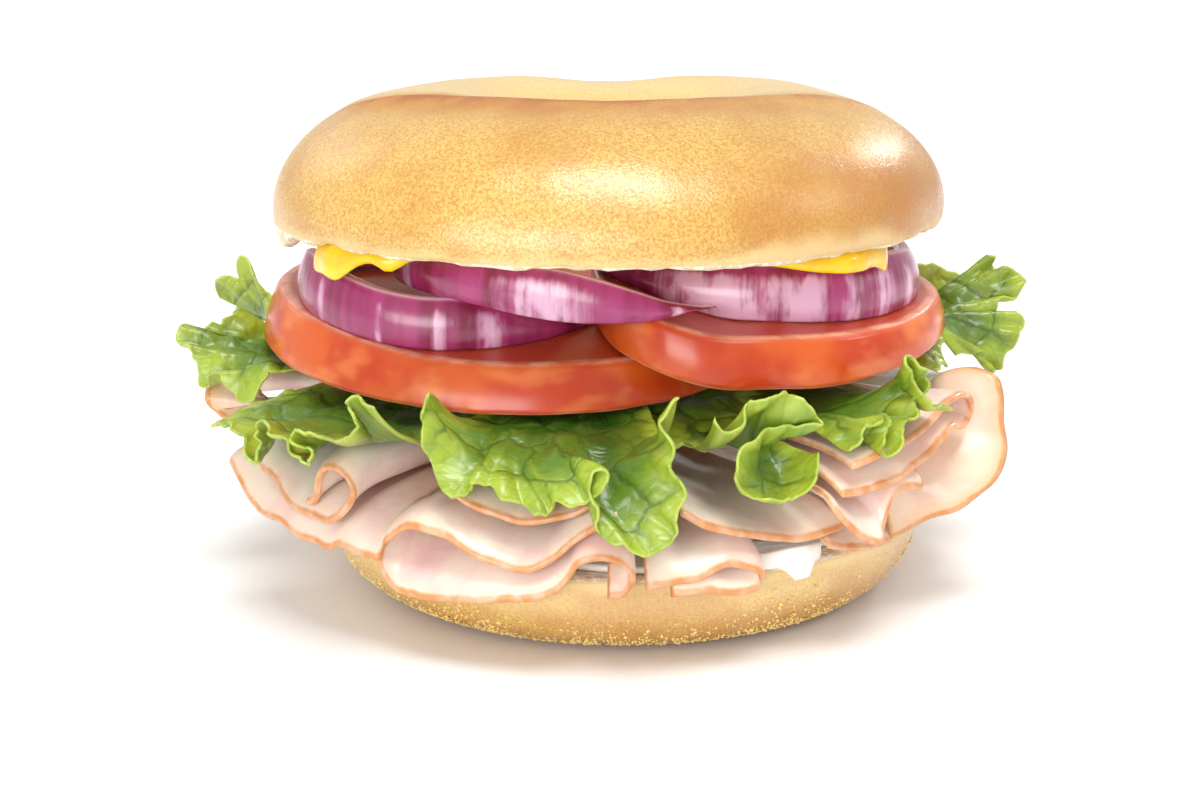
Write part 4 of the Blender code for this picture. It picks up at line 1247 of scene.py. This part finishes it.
def add_floor(settings):
    """A wide pale square that is part of the stage, not of the sandwich."""
    mesh = bpy.data.meshes.new("floor")
    corners = [(FLOOR_REACH * a, FLOOR_REACH * b, 0) for a, b in ((-1, -1), (1, -1), (1, 1), (-1, 1))]
    mesh.from_pydata(corners, [], [(0, 1, 2, 3)])
    mesh.materials.append(Recipe("floor_paper", settings).finish((*settings.floor, 1.0), 0.8))
    floor = link("studio_floor", mesh)
    floor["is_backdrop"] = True


def set_world():
    """An even white sky."""
    world = bpy.data.worlds.new("studio")
    world.use_nodes = True
    sky = world.node_tree.nodes["Background"]
    sky.inputs["Color"].default_value = (1.0, 1.0, 1.0, 1.0)
    sky.inputs["Strength"].default_value = WORLD_STRENGTH
    bpy.context.scene.world = world


def add_lamp(name, place, aim_height, size, power):
    """A square lamp turned to look at a point on the sandwich's axis."""
    data = bpy.data.lights.new(name, "AREA")
    data.shape = "RECTANGLE"
    data.size, data.size_y = size
    data.energy = power
    lamp = link(name, data)
    lamp.location = place
    x, y, z = place
    lamp.rotation_euler = (math.atan2(math.hypot(x, y), z - aim_height), 0, math.atan2(x, -y))


def add_sun(power):
    """A wide sun high in front lights the food and the whole floor evenly."""
    data = bpy.data.lights.new("key_sun", "SUN")
    data.energy = power
    data.angle = math.radians(SUN_WIDTH)
    link("key_sun", data).rotation_euler = (math.radians(SUN_TILT), 0, math.radians(SUN_TURN))


def add_camera(settings):
    """The camera fitted to the photograph, its lens from a focal length in pixels."""
    data = bpy.data.cameras.new("camera")
    data.sensor_width = SENSOR_WIDTH
    data.lens = SENSOR_WIDTH * settings.focal / IMAGE_WIDTH
    data.clip_start = 0.01
    camera = link("camera", data)
    camera.location = (own_place() + CAMERA_PLACE) * MM
    camera.rotation_euler = (math.radians(90 - CAMERA_PITCH), 0, 0)
    return camera


class AddStudio(bpy.types.Operator):
    """Add the floor, the lamps and the camera"""

    bl_idname = "sandwich.add_studio"
    bl_label = "Studio"

    def execute(self, context):
        settings = context.scene.sandwich_studio
        add_floor(settings)
        set_world()
        context.scene.view_settings.view_transform = "Standard"
        for name, place, aim_height, size, power in (
                ("right_lamp", (1.0, -0.1, 0.7), 0.05, (0.2, 0.2), 0.9),
                ("low_lamp", (-0.42, -1.0, 0.28), 0.04, (0.8, 0.3), 5.4),
                ("back_right_lamp", (0.68, 0.82, 0.6), 0.06, (0.13, 0.13), 2.0),
                ("back_left_lamp", (-0.75, 0.75, 0.65), 0.06, (0.5, 0.36), 0.8)):
            add_lamp(name, place, aim_height, size, power * settings.light)
        add_sun(SUN_STRENGTH * settings.light)
        context.scene.camera = add_camera(settings)
        return {"FINISHED"}


class SandwichPanel(bpy.types.Panel):
    """Lists the sandwich's pieces and the studio"""

    bl_idname = "VIEW3D_PT_sandwich"
    bl_label = "Sandwich"
    bl_space_type = "VIEW_3D"
    bl_region_type = "UI"
    bl_category = "Sandwich"

    def draw(self, context):
        for step in STEPS:
            self.layout.operator(step.bl_idname)


STEPS = (AddBagel, AddCornmeal, AddSpreads, AddTomatoes, AddOnions, AddHam, AddLettuce, AddStudio)
GROUPS = {"sandwich_bread": BreadSettings, "sandwich_spreads": SpreadSettings,
          "sandwich_salad": SaladSettings, "sandwich_ham": HamSettings, "sandwich_studio": StudioSettings}


def register():
    for group in GROUPS.values():
        bpy.utils.register_class(group)
    for name, group in GROUPS.items():
        setattr(bpy.types.Scene, name, bpy.props.PointerProperty(type=group))
    for step in (*STEPS, SandwichPanel):
        bpy.utils.register_class(step)


def unregister():
    for step in (SandwichPanel, *STEPS[::-1]):
        bpy.utils.unregister_class(step)
    for name, group in GROUPS.items():
        delattr(bpy.types.Scene, name)
        bpy.utils.unregister_class(group)


def main():
    """Adds everything, then works out the boxes of the solids and of the fine surfaces, in metres."""
    register()
    bpy.ops.sandwich.add_bagel()
    bpy.ops.sandwich.add_cornmeal()
    bpy.ops.sandwich.add_spreads()
    bpy.ops.sandwich.add_tomatoes()
    bpy.ops.sandwich.add_onions()
    bpy.ops.sandwich.add_ham()
    bpy.ops.sandwich.add_lettuce()
    bpy.ops.sandwich.add_studio()
    boxes = {"cad": CAD_BOX, "visual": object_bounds()}
    lists = {key: [[float(v) for v in corner] for corner in box] for key, box in boxes.items()}


if __name__ == "__main__":
    main()
